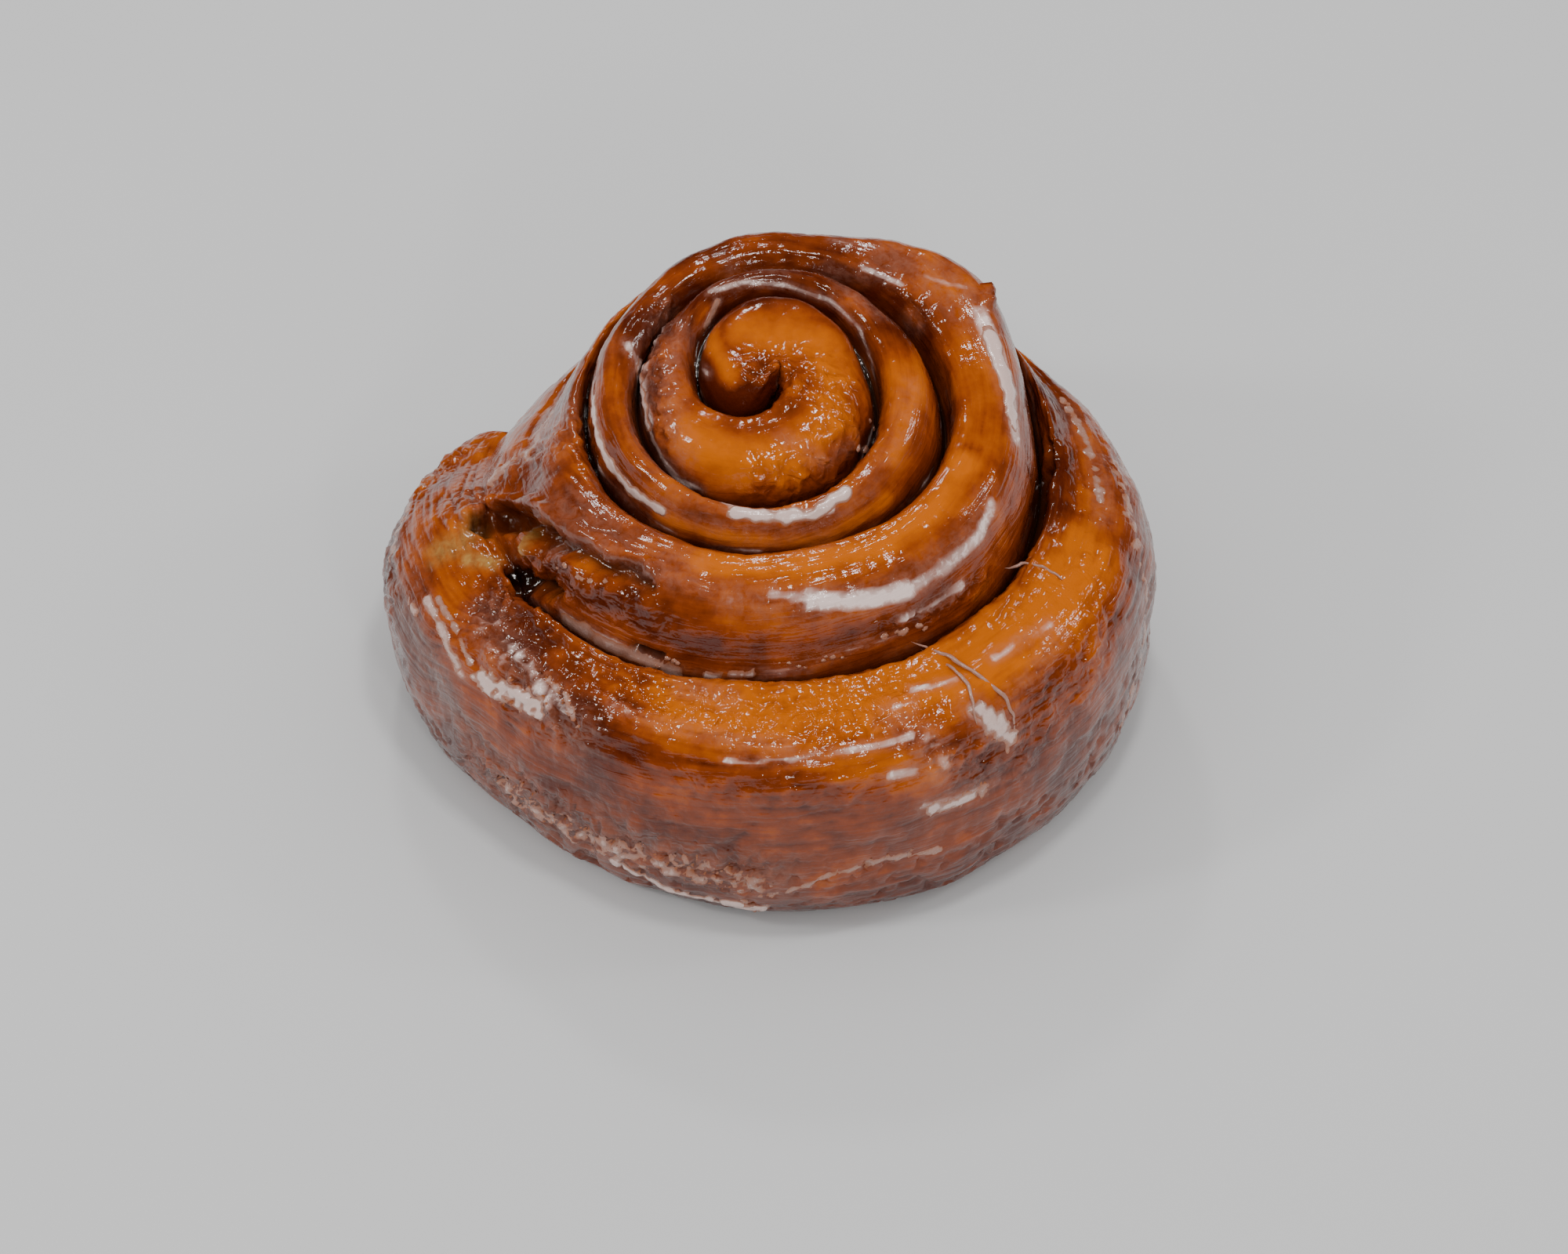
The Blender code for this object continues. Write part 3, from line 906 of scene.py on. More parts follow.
def side_pits(crust, warped):
    """Small pits, from 0 to 1, most of them low on the last turn's side."""
    low = smooth(np.clip((PIT_TOP - crust["points"][:, 2]) / PIT_FADE, 0, 1)) * last_turn(crust, SIDE_LEAD)
    pits = smooth(np.clip((gradient_noise(warped / PIT_LENGTH, PIT_SEED) - 0.25) / 0.35, 0, 1))
    return pits * (PITS_ABOVE + low)


def edge_crinkle(crust):
    """Waviness of the strip's outer edge."""
    lip = beside(crust["to_outer"], LIP_WIDTH) * (crust["t"] > CRINKLED_FROM)
    waves = np.stack([crust["along"] / CRINKLE_LENGTH, lip, np.zeros(len(lip))], -1)
    return lip * gradient_noise(waves, CRINKLE_SEED)


def beside(distance, width):
    """1 at a seam, falling to 0 beside it."""
    return np.exp(-((distance / width) ** 2))


def relief(crust, tree, sizes):
    """How far each point of the crust stands out from the plain strip, in millimetres.

    How crumpled the skin is, and how high its folds stand, are kept with the crust for its colours, where the
    folds get painted light on their crests and painted shade in their valleys."""
    points = crust["points"]
    warped = moved_about(points, WARP_LENGTH, WARP, WARP_SEEDS)
    valleys = wrinkle_valleys(crust)
    skin = crumpled_skin(crust, tree)
    fine_folds = 0.5 * creases(warped / FINE_FOLD_LENGTH, FINE_FOLD_SEED)
    folds = (creases(warped / FOLD_LENGTH, FOLD_SEED) + fine_folds - FOLD_LEVEL) * skin
    crust["skin"] = skin
    crust["fold"] = folds - valleys

    lumps = sizes.lumps * layered_noise(points / LUMP_LENGTH, LUMP_SEED, 2)
    grain = sizes.grain * layered_noise(points / GRAIN_LENGTH, GRAIN_SEED, 2)
    pits = sizes.pits * side_pits(crust, warped)
    drawn = sizes.crinkle * edge_crinkle(crust) - sizes.wrinkles * valleys - pits
    height = (lumps + drawn * tail_fade(crust) + sizes.folds * folds + grain) / MM - torn(points, tree)[0]
    low_edge = smooth(np.clip(points[:, 2] / FOOT_FADE, 0, 1))
    return height * seam_fade(crust) * low_edge * (1 - crust["foot"])


def torn(points, tree):
    """How deep each point is torn, and how dark it is there, as painted shade in the hollow."""
    depth_here = np.zeros(len(points))
    torn_shade_here = np.zeros(len(points))
    ragged = moved_about(points, RAGGED_LENGTH, RAGGED, TORN_SEEDS, 2)
    for pixels, reach, depth, dark in TORN:
        near = smooth(np.clip(1.5 * closeness(ragged, path_on_crust(tree, pixels), reach), 0, 1))
        depth_here += depth * near
        # Painted shade: the torn hollows are darkened where they sink.
        torn_shade_here = np.maximum(torn_shade_here, dark * near)
    return depth_here, torn_shade_here


def amber_marks(crust, normals, tree):
    """How amber the crust is. Crust that faces up is painted lighter, a painted light from above, and fold
    crests lighter and fold valleys darker, a painted light and shade. The marked dark places are partly
    deeper browning and partly painted shade. Lips are browner, and the crust is darker towards the bottom.
    """
    points = crust["points"]
    uneven = layered_noise(points / UNEVEN_LENGTH, AMBER_SEED)
    # Painted light: the more the crust faces up, the more amber it is made.
    amber = PLAIN_AMBER + UPWARD_LIGHT * np.clip(normals[:, 2], 0, 1) + UNEVEN_AMBER * uneven
    lips = beside(crust["to_outer"], LIP_BROWNED) * open_seam(crust["t"])
    low = smooth(np.clip((LOW_HEIGHT - points[:, 2]) / LOW_HEIGHT, 0, 1))
    # Partly painted shade: the marked dark places also darken walls and sides that face away from the light.
    amber = np.maximum(amber, most(points, AMBER, tree)) - most(points, BROWNED_AND_SHADED, tree)
    # Painted light and shade on the folds; the crust is also darker towards the bottom.
    return amber - LIP_BROWNING * lips + FOLD_LIGHT_AND_SHADE * crust["fold"] - LOW_DARKENING * low


def groove_filling_and_shade_marks(crust, tree):
    """How deep in a groove or a torn place each point is. It darkens the crust there: a groove's dark filling
    and its painted shade, and the painted shade of a torn hollow.
    """
    inner = open_seam(crust["t"] - 1) * beside(crust["to_inner"], INNER_FILLING_AND_SHADE)
    outer = open_seam(crust["t"]) * beside(crust["to_outer"], OUTER_FILLING_AND_SHADE)
    return np.maximum(np.maximum(inner, outer), torn(crust["points"], tree)[1])


def veil_and_sheen_marks(crust, normals, tree):
    """How much thin sugar lies on the crust, with painted highlights and painted reflections on steep sides,
    fold crests and the turns' outer edges.
    """
    points = crust["points"]
    # Partly painted reflection: the steep sides of the last turn are tinted as the glaze mirrors the pale
    # floor.
    steep = np.clip(1 - normals[:, 2], 0, 1) * last_turn(crust, VEIL_LEAD)
    westward = smooth(np.clip(0.5 - points[:, 0] / VEIL_SPREAD, 0, 1))
    uneven = 0.6 + 1.2 * layered_noise(points / 7.0, PLAIN_VEIL_SEED)
    plain = (PLAIN_VEIL + STEEP_VEIL_AND_SHEEN * steep) * westward * uneven
    # Partly painted highlight: a pale line along each turn's outer edge.
    rim_sugar_and_sheen = beside(crust["to_outer"] - RIM_SHEEN_PLACE, RIM_SHEEN_WIDTH) * open_seam(crust["t"])
    rim_sugar_and_sheen = rim_sugar_and_sheen * np.clip(0.5 + 0.8 * layered_noise(points / 6.0, RIM_SEED), 0.15, 1.0)
    marked = most(points, VEIL_AND_SHEEN, tree) * (0.97 + 0.14 * layered_noise(points / 2.4, VEIL_SEED))
    # Painted light: more sugar tint on fold crests, less in their valleys.
    return np.maximum(np.maximum(plain, rim_sugar_and_sheen), marked) * (1 + FOLD_SHEEN * crust["fold"])


def crust_marks_and_shade(crust, normals, tree):
    """Red: how amber, with painted light and shade in it. Green: how deep in a groove or a torn place, for
    its dark filling and painted shade. Blue: thin sugar with painted highlights and reflections. Alpha: torn
    dough.
    """
    points = crust["points"]
    dough = most(points, DOUGH, tree) * np.clip(0.9 + 0.6 * layered_noise(points / 1.5, DOUGH_SEED), 0, 1)
    amber = amber_marks(crust, normals, tree)
    veil_and_sheen = veil_and_sheen_marks(crust, normals, tree)
    return np.clip(np.stack([amber, groove_filling_and_shade_marks(crust, tree), veil_and_sheen, dough], -1), 0, 1)


# Materials


def node(tree, kind, inputs=None, **choices):
    """Adds a shader node. An input is a number, a colour or another node's output."""
    made = tree.nodes.new(kind)
    for name, value in choices.items():
        setattr(made, name, value)
    for name, value in (inputs or {}).items():
        if isinstance(value, bpy.types.NodeSocket):
            tree.links.new(value, made.inputs[name])
        else:
            made.inputs[name].default_value = value
    return made


def mixed(tree, amount, first, second):
    """A colour between two colours."""
    return node(tree, "ShaderNodeMix", {0: amount, 6: first, 7: second}, data_type="RGBA").outputs[2]


def reckoned(tree, operation, first, second=0.0, third=0.0):
    """Arithmetic on shader values, kept from 0 to 1."""
    inputs = {0: first, 1: second, 2: third}
    return node(tree, "ShaderNodeMath", inputs, operation=operation, use_clamp=True).outputs[0]


def times(tree, first, second):
    return reckoned(tree, "MULTIPLY", first, second)


def added(tree, first, second):
    """A sum that may leave the range from 0 to 1."""
    return node(tree, "ShaderNodeMath", {0: first, 1: second}, operation="ADD").outputs[0]


def greater(tree, first, second):
    return reckoned(tree, "MAXIMUM", first, second)


def between(tree, value, low, high):
    """0 at low, 1 at high, and straight between them."""
    inputs = {"Value": value, "From Min": low, "From Max": high}
    return node(tree, "ShaderNodeMapRange", inputs).outputs["Result"]


def noise(tree, place, size, detail, **inputs):
    """Shader noise whose marks are about this many millimetres across."""
    inputs = {"Vector": place, "Scale": 1 / (size * MM), "Detail": detail, **inputs}
    return node(tree, "ShaderNodeTexNoise", inputs).outputs["Fac"]


def drawn_wrinkles(tree):
    """Fine wrinkles along the strip, which fade out at its start."""
    place = node(tree, "ShaderNodeAttribute", attribute_name="strip").outputs["Vector"]
    stretch = {0: place, 1: (1 / FINE_WRINKLE_LENGTH, 1 / FINE_WRINKLE_WIDTH, 0.0)}
    drawn = node(tree, "ShaderNodeVectorMath", stretch, operation="MULTIPLY").outputs[0]
    lines = {"Vector": drawn, "Scale": 1.0, "Detail": 1.5, "Distortion": 0.5}
    drawn_out = node(tree, "ShaderNodeSeparateXYZ", {"Vector": place}).outputs["Z"]
    return times(tree, node(tree, "ShaderNodeTexNoise", lines).outputs["Fac"], drawn_out)


def glazed(tree, shader, weight, height, strength, depth):
    """A clear glaze of this weight, and a bump that it shares with what it covers."""
    shader.inputs["Coat Weight"].default_value = weight
    shader.inputs["Coat Roughness"].default_value = 0.08
    bump = node(tree, "ShaderNodeBump", {"Strength": strength, "Distance": depth, "Height": height})
    for name in ("Normal", "Coat Normal"):
        tree.links.new(bump.outputs["Normal"], shader.inputs[name])


def new_material(name):
    material = bpy.data.materials.new(name)
    material.use_nodes = True
    tree = material.node_tree
    shader = tree.nodes["Principled BSDF"]
    place = tree.nodes.new("ShaderNodeTexCoord").outputs["Object"]
    return material, tree, shader, place


def opaque(colour):
    return (*colour, 1.0)


def crust_colour(tree, colours, mottle, fleck, wrinkle):
    """Brown tones with painted light and shade in them, then bare dough, lilac sugar, white sugar that also
    stands for painted highlights, and the dark filling and painted shade of grooves over them.
    """
    marks = node(tree, "ShaderNodeAttribute", attribute_name="marks_and_shade").outputs
    parts = node(tree, "ShaderNodeSeparateColor", {"Color": marks["Color"]}).outputs
    amber, groove, veil_and_sheen = (parts[name] for name in ("Red", "Green", "Blue"))

    shades = added(tree, times(tree, mottle, MOTTLE_TONE), times(tree, wrinkle, WRINKLE_TONE))
    tone = added(tree, added(tree, amber, -USUAL_TONE), shades)
    colour = mixed(tree, between(tree, tone, 0.0, 0.45), opaque(colours.dark), opaque(colours.rust))
    colour = mixed(tree, between(tree, tone, 0.4, 0.95), colour, opaque(colours.amber))

    broken = between(tree, fleck, 0.32, 0.68)
    bare = times(tree, marks["Alpha"], added(tree, broken, 0.35))
    colour = mixed(tree, bare, colour, opaque(colours.dough))
    lilac = greater(tree, times(tree, veil_and_sheen, broken), between(tree, veil_and_sheen, 0.45, 1.0))
    colour = mixed(tree, times(tree, lilac, LILAC_COVER), colour, opaque(colours.lilac))
    # Partly painted highlight: strong or speckled sugar goes white where the wet glaze gleams.
    speckled = added(tree, veil_and_sheen, times(tree, fleck, 0.8))
    frost_and_highlight = greater(tree, between(tree, speckled, 1.0, 1.25), between(tree, veil_and_sheen, 0.5, 1.05))
    colour = mixed(tree, times(tree, frost_and_highlight, FROST_AND_HIGHLIGHT_COVER), colour, opaque(colours.white))
    # Partly painted shade: grooves and torn hollows go near-black, for the dark filling and the shade in
    # them.
    return mixed(tree, groove, colour, opaque(colours.groove))


def crust_material(colours):
    """Browned dough under a thin wet glaze."""
    material, tree, shader, place = new_material("baked_crust")
    mottle = noise(tree, place, 4.0, 4.0, Roughness=0.6)
    fleck = noise(tree, place, 1.3, 5.0, Roughness=0.7, Distortion=0.6)
    wrinkle = drawn_wrinkles(tree)
    tree.links.new(crust_colour(tree, colours, mottle, fleck, wrinkle), shader.inputs["Base Color"])
    tree.links.new(added(tree, 0.24, times(tree, fleck, 0.25)), shader.inputs["Roughness"])
    shader.inputs["Specular IOR Level"].default_value = 0.1
    shader.inputs["Specular Tint"].default_value = opaque(colours.gleam)
    shader.inputs["Coat IOR"].default_value = 1.55

    skin = node(tree, "ShaderNodeAttribute", attribute_name="skin").outputs["Fac"]
    crumple = noise(tree, place, 2.4, 2.0, Roughness=0.35, Distortion=0.9)
    height = added(tree, times(tree, mottle, 0.25), times(tree, fleck, 0.03))
    height = added(tree, height, times(tree, wrinkle, 0.14))
    height = added(tree, height, times(tree, skin, crumple))
    glazed(tree, shader, 0.9, height, 1.0, MM)
    return material


def sugar_material(colours):
    """Dried sugar, lilac where it is thin and white where it is thick. The white also stands for painted
    highlights.
    """
    material, tree, shader, place = new_material("dried_sugar_and_highlights")
    thick = node(tree, "ShaderNodeAttribute", attribute_name="thick").outputs["Fac"]
    cloud = noise(tree, place, 1.2, 4.0, Roughness=0.65)
    fine = noise(tree, place, 0.4, 2.0)
    amount = reckoned(tree, "ADD", thick, reckoned(tree, "MULTIPLY_ADD", cloud, 0.7, -0.35))
    thin = mixed(tree, between(tree, amount, 0.0, 0.55), opaque(colours.syrup), opaque(colours.lilac))
    colour = mixed(tree, between(tree, amount, 0.7, 1.25), thin, opaque(colours.white))
    tree.links.new(colour, shader.inputs["Base Color"])
    tree.links.new(reckoned(tree, "MULTIPLY_ADD", cloud, 0.3, 0.12), shader.inputs["Roughness"])
    glazed(tree, shader, 0.6, reckoned(tree, "MULTIPLY_ADD", fine, 0.3, cloud), 0.5, 0.15 * MM)
    return material


def film_thickness(points, marks):
    """How thick the dried sugar stands at each point, in millimetres."""
    thickness = np.zeros(len(points))
    for path, reach, thick, covered, size, seed in marks:
        close = closeness(points, path, reach)
        near = close > 0
        speckle = layered_noise(points[near] / size, seed, 2)
        level = np.clip((close[near] * 1.2 + covered - 1.18 + 0.6 * speckle) / FILM_EDGE, 0, 1)
        thickness[near] = np.maximum(thickness[near], thick * smooth(level))
    return thickness


def film_mesh(crust, marks):
    """The dried sugar: a copy of the crust's faces under it, split finer and raised. Its white patches also
    stand for painted highlights.
    """
    mesh = crust.data
    points = np.zeros(len(mesh.vertices) * 3, np.float32)
    mesh.vertices.foreach_get("co", points)
    points = points.reshape(-1, 3) / MM
    covered = np.zeros(len(points), bool)
    for path, reach, *_ in marks:
        covered |= closeness(points, path, reach + FILM_MARGIN) > 0
    bm = bmesh.new()
    bm.from_mesh(mesh)
    bm.verts.ensure_lookup_table()
    bare = [face for face in bm.faces if not any(covered[vert.index] for vert in face.verts)]
    bmesh.ops.delete(bm, geom=bare, context="FACES")
    bmesh.ops.subdivide_edges(bm, edges=bm.edges, cuts=1, use_grid_fill=True, smooth=0.0)
    places = np.array([vert.co for vert in bm.verts]) / MM
    outward_here = np.array([vert.normal for vert in bm.verts])
    thickness = film_thickness(places, marks)
    bm.verts.index_update()
    clear = [face for face in bm.faces if not any(thickness[vert.index] > 0 for vert in face.verts)]
    kept = bm.verts.layers.float.new("thick")
    raised = places + outward_here * (thickness * FILM_RISE - FILM_BURIED)[:, None]
    for vert, place, thick in zip(bm.verts, raised, thickness):
        vert.co = place * MM
        vert[kept] = thick / THICK_SUGAR
    bmesh.ops.delete(bm, geom=clear, context="FACES")
    made = bpy.data.meshes.new("dried_sugar_and_highlights")
    bm.to_mesh(made)
    bm.free()
    made.shade_smooth()
    return made


def sugar_thread(bm, tree, pixels, half_width, seed):
    """A thin round thread that lies along the crust, thinner at its ends."""
    knots = [on_crust(tree, x, y) for x, y in pixels]
    stations = np.linspace(0, len(knots) - 1, 6 * len(knots))
    path = np.array([place + normal * half_width * 0.6 for place, normal in knots])
    path = np.stack([along(path, axis, 0.0, 1.0, stations) for axis in range(3)], -1)
    path = moved_about(path, THREAD_WAVE_LENGTH, THREAD_WAVE, range(seed, seed + 3))
    forward = np.gradient(path, axis=0)
    forward /= np.linalg.norm(forward, axis=1, keepdims=True)
    aside = np.cross(forward, [0, 0, 1.0])
    aside /= np.linalg.norm(aside, axis=1, keepdims=True)
    upward = np.cross(aside, forward)
    share = np.linspace(-1, 1, len(path))
    width = half_width * (1 - share**4) * (1 + 0.3 * layered_noise(path / 1.5, seed + 5))
    rings = []
    for place, left, rise, size in zip(path, aside, upward, width):
        angles = np.linspace(0, 2 * np.pi, THREAD_SIDES, endpoint=False)
        ring = [place + size * (np.cos(a) * left + np.sin(a) * rise) for a in angles]
        rings.append([bm.verts.new(corner * MM) for corner in ring])
    for ring, following in zip(rings[:-1], rings[1:]):
        for i in range(THREAD_SIDES):
            j = (i + 1) % THREAD_SIDES
            bm.faces.new((ring[i], ring[j], following[j], following[i]))


def sticky_crumb(bm, place, normal, size, seed):
    """A small uneven lump, flattened on the crust that it sticks to."""
    made = bmesh.ops.create_icosphere(bm, subdivisions=3, radius=1.0)["verts"]
    shape = np.array([vert.co for vert in made])
    shape *= 1 + 0.35 * layered_noise(shape * 1.1, seed)[:, None]
    lean = np.array(Vector(normal).to_track_quat("Z", "Y").to_matrix())
    shape = (shape * [1.0, CRUMB_NARROWNESS, CRUMB_FLATNESS]) @ lean.T * size + place
    for vert, corner in zip(made, shape):
        vert.co = corner * MM


def threads_and_crumbs(tree):
    """One mesh of all the sugar threads and sticky crumbs."""
    dice = np.random.RandomState(CRUMB_SEED)
    bm = bmesh.new()
    thick = bm.verts.layers.float.new("thick")
    for number, (pixels, half_width) in enumerate(THREADS):
        sugar_thread(bm, tree, pixels, half_width, CRUMB_SEED + 10 * number)
    for vert in bm.verts:
        vert[thick] = THREAD_WHITENESS
    thread_corners = len(bm.verts)
    for pixels, count, largest in CRUMBS:
        for _ in range(count):
            share = dice.uniform(0, len(pixels) - 1)
            spread = dice.uniform(-CRUMB_SPREAD, CRUMB_SPREAD, 2)
            x, y = (np.interp(share, np.arange(len(pixels)), axis) for axis in np.transpose(pixels))
            place, normal = on_crust(tree, x + spread[0], y + spread[1])
            size = largest * dice.uniform(0.4, 1.0) / 2
            sticky_crumb(bm, place, normal, size, dice.randint(1000))
    bmesh.ops.recalc_face_normals(bm, faces=bm.faces)
    bm.verts.ensure_lookup_table()
    for vert in bm.verts[thread_corners:]:
        vert[thick] = CRUMB_WHITENESS
    mesh = bpy.data.meshes.new("sugar_crumbs")
    bm.to_mesh(mesh)
    bm.free()
    mesh.shade_smooth()
    return mesh


def place_on_back(tree, angle, height):
    """The place on the crust's side at this angle and height, or None above the crust."""
    aim = np.array([np.cos(angle), np.sin(angle), 0.0])
    return tree.ray_cast(Vector((aim * BACK_DISTANCE + [0, 0, height]) * MM), Vector(-aim))[0]


def scattered_marks(tree, count, seed):
    """Sugar marks on the sides that the photograph doesn't show."""
    dice = np.random.RandomState(seed)
    marks = []
    while len(marks) < count:
        angle = dice.uniform(*BACK_ANGLES)
        height = dice.uniform(*BACK_HEIGHTS)
        place = place_on_back(tree, angle, height)
        if place is None:
            continue
        turned = angle + dice.uniform(0.05, 0.25) * dice.choice((-1, 1))
        other = place_on_back(tree, turned, height + dice.uniform(-3, 3))
        if other is None:
            continue
        path = np.array([place, other]) / MM
        reach = dice.uniform(0.8, 5.0)
        covered = 0.80 - 0.1 * reach + dice.uniform(-0.1, 0.1)
        thick = dice.uniform(0.12, 0.32)
        size = dice.uniform(0.9, 2.0)
        marks.append((path, reach, thick, covered, size, seed + len(marks)))
    return marks


def floor_material(colours):
    material, tree, shader, place = new_material("pale_floor")
    shade = noise(tree, place, 60.0, 2.0)
    darker = tuple(0.97 * part for part in colours.floor)
    tree.links.new(mixed(tree, shade, opaque(darker), opaque(colours.floor)), shader.inputs["Base Color"])
    shader.inputs["Roughness"].default_value = 0.6
    return material


# Settings that a user would change


def colour_setting(name, description, default):
    return bpy.props.FloatVectorProperty(
        name=name, description=description, default=default, subtype="COLOR", min=0.0, max=1.0
    )


def length_setting(name, description, default):
    """A length that is given in millimetres and kept in metres."""
    return bpy.props.FloatProperty(name=name, description=description, default=default * MM, unit="LENGTH")


def count_setting(name, description, default):
    return bpy.props.IntProperty(name=name, description=description, default=default, min=1)


def power_setting(name, description, default):
    return bpy.props.FloatProperty(name=name, description=description, default=default, unit="POWER")


class CrustSizes(bpy.types.PropertyGroup):
    step: length_setting("Row spacing", "Distance between rows of points along the strip", 0.62)
    lumps: length_setting("Lumps", "Height of the slow swells of the dough", 0.45)
    wrinkles: length_setting("Wrinkles", "Depth of the wrinkles that run along the strip", 0.35)
    folds: length_setting("Folds", "Height of the crumpled skin", 0.75)
    pits: length_setting("Pits", "Depth of the pits low on the side", 0.5)
    grain: length_setting("Grain", "Height of the fine grain", 0.06)
    crinkle: length_setting("Crinkle", "Waviness of the strip's free edges", 0.5)
    across: count_setting("Columns", "Columns of points over the top", 44)
    side_rows: count_setting("Side rows", "Rows of points down the side", 56)
    foot_rings: count_setting("Foot rings", "Rings of points under it", 8)


class RollColours(bpy.types.PropertyGroup):
    amber: colour_setting("Amber", "Crust on the crowns", (0.51, 0.108, 0.001))
    rust: colour_setting("Rust", "Crust on the walls and the side", (0.24, 0.037, 0.0025))
    # The darkest tone also carries painted shade: in fold valleys and on walls that face away from the light.
    dark: colour_setting("Dark", "Deeply browned crust", (0.080, 0.0085, 0.001))
    # Partly painted shade: this near-black stands for the dark filling and the shade in the seams and torn
    # hollows.
    groove: colour_setting("Groove", "Crust deep in a seam", (0.010, 0.0015, 0.0008))
    dough: colour_setting("Dough", "Pale dough under torn crust", (0.42, 0.23, 0.06))
    # Lilac is thin sugar, and on the steep sides partly a painted reflection of the pale floor.
    lilac: colour_setting("Lilac", "Thin sugar over brown crust", (0.36, 0.18, 0.13))
    gleam: colour_setting("Gleam", "Tint of the soft gloss on the crust", (1.0, 0.62, 0.30))
    syrup: colour_setting("Syrup", "Wet sugar so thin that the crust shows", (0.30, 0.075, 0.012))
    # White is thick sugar, and also stands for painted highlights of the wet glaze.
    white: colour_setting("White", "Thick dried sugar", (0.88, 0.70, 0.65))
    floor: colour_setting("Floor", "Pale floor of the studio", (0.62, 0.62, 0.62))


class StudioLights(bpy.types.PropertyGroup):
    overhead: power_setting("Overhead", "Power of the light above", 0.75)
    side: power_setting("Side", "Power of the lights on the left, right and back", 0.65)
    front: power_setting("Front", "Power of the light in front", 0.48)
    sky: bpy.props.FloatProperty(name="Sky", description="Even light from all around", default=0.90, min=0.0)


# Operators


class CINNAMON_OT_crust(bpy.types.Operator):
    """Build the baked crust, which stands for the whole solid"""

    bl_idname = "cinnamon.crust"
    bl_label = "Baked crust"

    def execute(self, context):
        sizes = context.scene.crust_sizes
        crust = crust_strip(sizes.step / MM, sizes.across, sizes.side_rows, sizes.foot_rings)
        piece = mesh_object("baked_crust", crust["points"], crust["faces"])
        mesh = piece.data
        if len(mesh.vertices) != len(crust["points"]):
            raise RuntimeError("the crust's points changed when its mesh was checked")
        tree = surface_tree(piece)
        points = crust["points"] + outward_directions(mesh) * relief(crust, tree, sizes)[:, None]
        mesh.vertices.foreach_set("co", (points * MM).astype(np.float32).ravel())
        mesh.update()
        places = np.stack([crust["along"], crust["across"], started(crust)], -1)
        keep_on_points(mesh, "strip", "FLOAT_VECTOR", "vector", places)
        keep_on_points(mesh, "skin", "FLOAT", "value", crust["skin"])
        marks = crust_marks_and_shade(crust, outward_directions(mesh), tree)
        keep_on_points(mesh, "marks_and_shade", "FLOAT_COLOR", "color", marks)
        mesh.materials.append(crust_material(context.scene.roll_colours))
        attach(piece, "root")
        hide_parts("cinnamon_roll")
        return {"FINISHED"}


class CINNAMON_OT_sugar(bpy.types.Operator):
    """Build the films of dried sugar on the crust, whose white patches also stand for painted highlights"""

    bl_idname = "cinnamon.sugar"
    bl_label = "Dried sugar"

    def execute(self, context):
        crust = bpy.data.objects["baked_crust"]
        tree = surface_tree(crust)
        marks = [
            (path_on_crust(tree, pixels), reach, thick, covered, size, FILM_SEED + number)
            for number, (pixels, reach, thick, covered, size) in enumerate(FILMS_AND_HIGHLIGHTS)
        ]
        marks += scattered_marks(tree, BACK_MARKS, BACK_SEED)
        piece = placed("dried_sugar_and_highlights", film_mesh(crust, marks))
        piece.data.materials.append(sugar_material(context.scene.roll_colours))
        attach(piece, "root")
        return {"FINISHED"}


class CINNAMON_OT_crumbs(bpy.types.Operator):
    """Build the sugar threads and the sticky crumbs that lie on the crust"""

    bl_idname = "cinnamon.crumbs"
    bl_label = "Threads and crumbs"

    def execute(self, context):
        tree = surface_tree(bpy.data.objects["baked_crust"])
        piece = placed("sugar_crumbs", threads_and_crumbs(tree))
        piece.data.materials.append(bpy.data.materials["dried_sugar_and_highlights"])
        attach(piece, "root")
        return {"FINISHED"}


class CINNAMON_OT_studio(bpy.types.Operator):
    """Build the floor, the soft lights and the camera"""

    bl_idname = "cinnamon.studio"
    bl_label = "Studio"

    def execute(self, context):
        low, high = -FLOOR_REACH, FLOOR_REACH
        corners = [(low, low, 0), (high, low, 0), (high, high, 0), (low, high, 0)]
        floor = mesh_object("floor", corners, [(0, 1, 2, 3)])
        floor.data.materials.append(floor_material(context.scene.roll_colours))
        lights = context.scene.studio_lights
        for name, (setting, place, target, size, share) in LAMPS.items():
            soft_light(name, place, target, size, getattr(lights, setting) * share)
        studio_sky(lights.sky)
        photo_camera()
        return {"FINISHED"}


def soft_light(name, place, target, size, power):
    """A square light that faces its target. Places and size are in millimetres."""
    lamp = bpy.data.lights.new(name, "AREA")
    lamp.shape = "SQUARE"
    lamp.size = size * MM
    lamp.energy = power
    light = placed(name, lamp)
    light.location = Vector(place) * MM
    light.rotation_euler = (Vector(target) - Vector(place)).to_track_quat("-Z", "Y").to_euler()


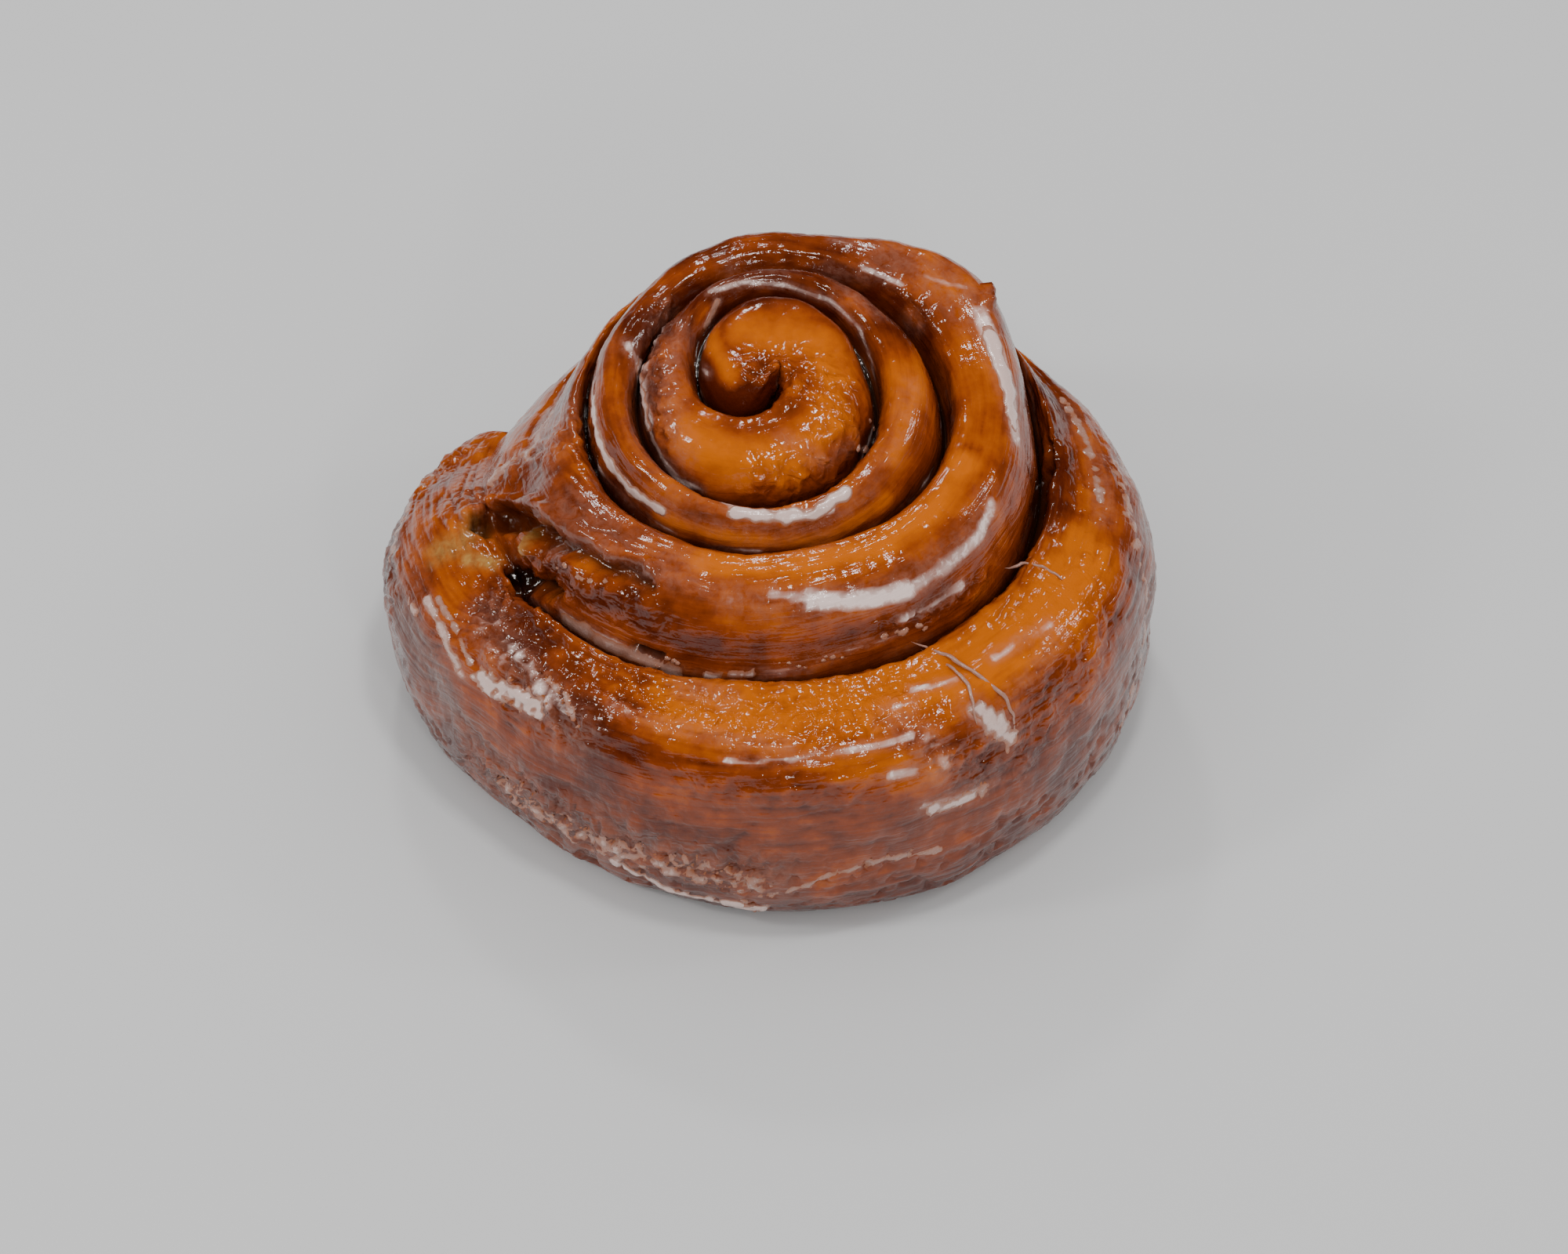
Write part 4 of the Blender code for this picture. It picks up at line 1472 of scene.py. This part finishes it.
def studio_sky(strength):
    """Even white light from all around, which doesn't show in the glaze."""
    world = bpy.data.worlds.new("studio_sky")
    world.use_nodes = True
    backdrop = world.node_tree.nodes["Background"]
    backdrop.inputs["Color"].default_value = (1.0, 1.0, 1.0, 1.0)
    backdrop.inputs["Strength"].default_value = strength
    bpy.context.scene.world = world
    world.cycles_visibility.glossy = False


def photo_camera():
    """The camera at the photograph's angle."""
    lens = bpy.data.cameras.new("photo_camera")
    lens.sensor_width = SENSOR
    lens.lens = LENS
    lens.clip_start = 10 * MM
    camera = placed("photo_camera", lens)
    camera.location = Vector(CAMERA_PLACE) * MM
    camera.rotation_euler = (CAMERA_TILT, 0, 0)
    bpy.context.scene.camera = camera


class CINNAMON_PT_roll(bpy.types.Panel):
    """The pieces of the cinnamon roll"""

    bl_label = "Cinnamon roll"
    bl_idname = "CINNAMON_PT_roll"
    bl_space_type = "VIEW_3D"
    bl_region_type = "UI"
    bl_category = "Cinnamon roll"

    def draw(self, context):
        for operator in OPERATORS:
            self.layout.operator(operator.bl_idname)
        for group, _ in SETTINGS:
            settings = getattr(context.scene, group)
            box = self.layout.box()
            for name in settings.bl_rna.properties.keys():
                if name not in ("rna_type", "name"):
                    box.prop(settings, name)


SETTINGS = (("crust_sizes", CrustSizes), ("roll_colours", RollColours), ("studio_lights", StudioLights))
OPERATORS = (CINNAMON_OT_crust, CINNAMON_OT_sugar, CINNAMON_OT_crumbs, CINNAMON_OT_studio)


def register():
    for name, group in SETTINGS:
        bpy.utils.register_class(group)
        setattr(bpy.types.Scene, name, bpy.props.PointerProperty(type=group))
    for operator in OPERATORS:
        bpy.utils.register_class(operator)
    bpy.utils.register_class(CINNAMON_PT_roll)


def unregister():
    bpy.utils.unregister_class(CINNAMON_PT_roll)
    for operator in reversed(OPERATORS):
        bpy.utils.unregister_class(operator)
    for name, group in reversed(SETTINGS):
        delattr(bpy.types.Scene, name)
        bpy.utils.unregister_class(group)


def main():
    register()
    bpy.ops.cinnamon.crust()
    bpy.ops.cinnamon.sugar()
    bpy.ops.cinnamon.crumbs()
    bpy.ops.cinnamon.studio()


if __name__ == "__main__":
    main()
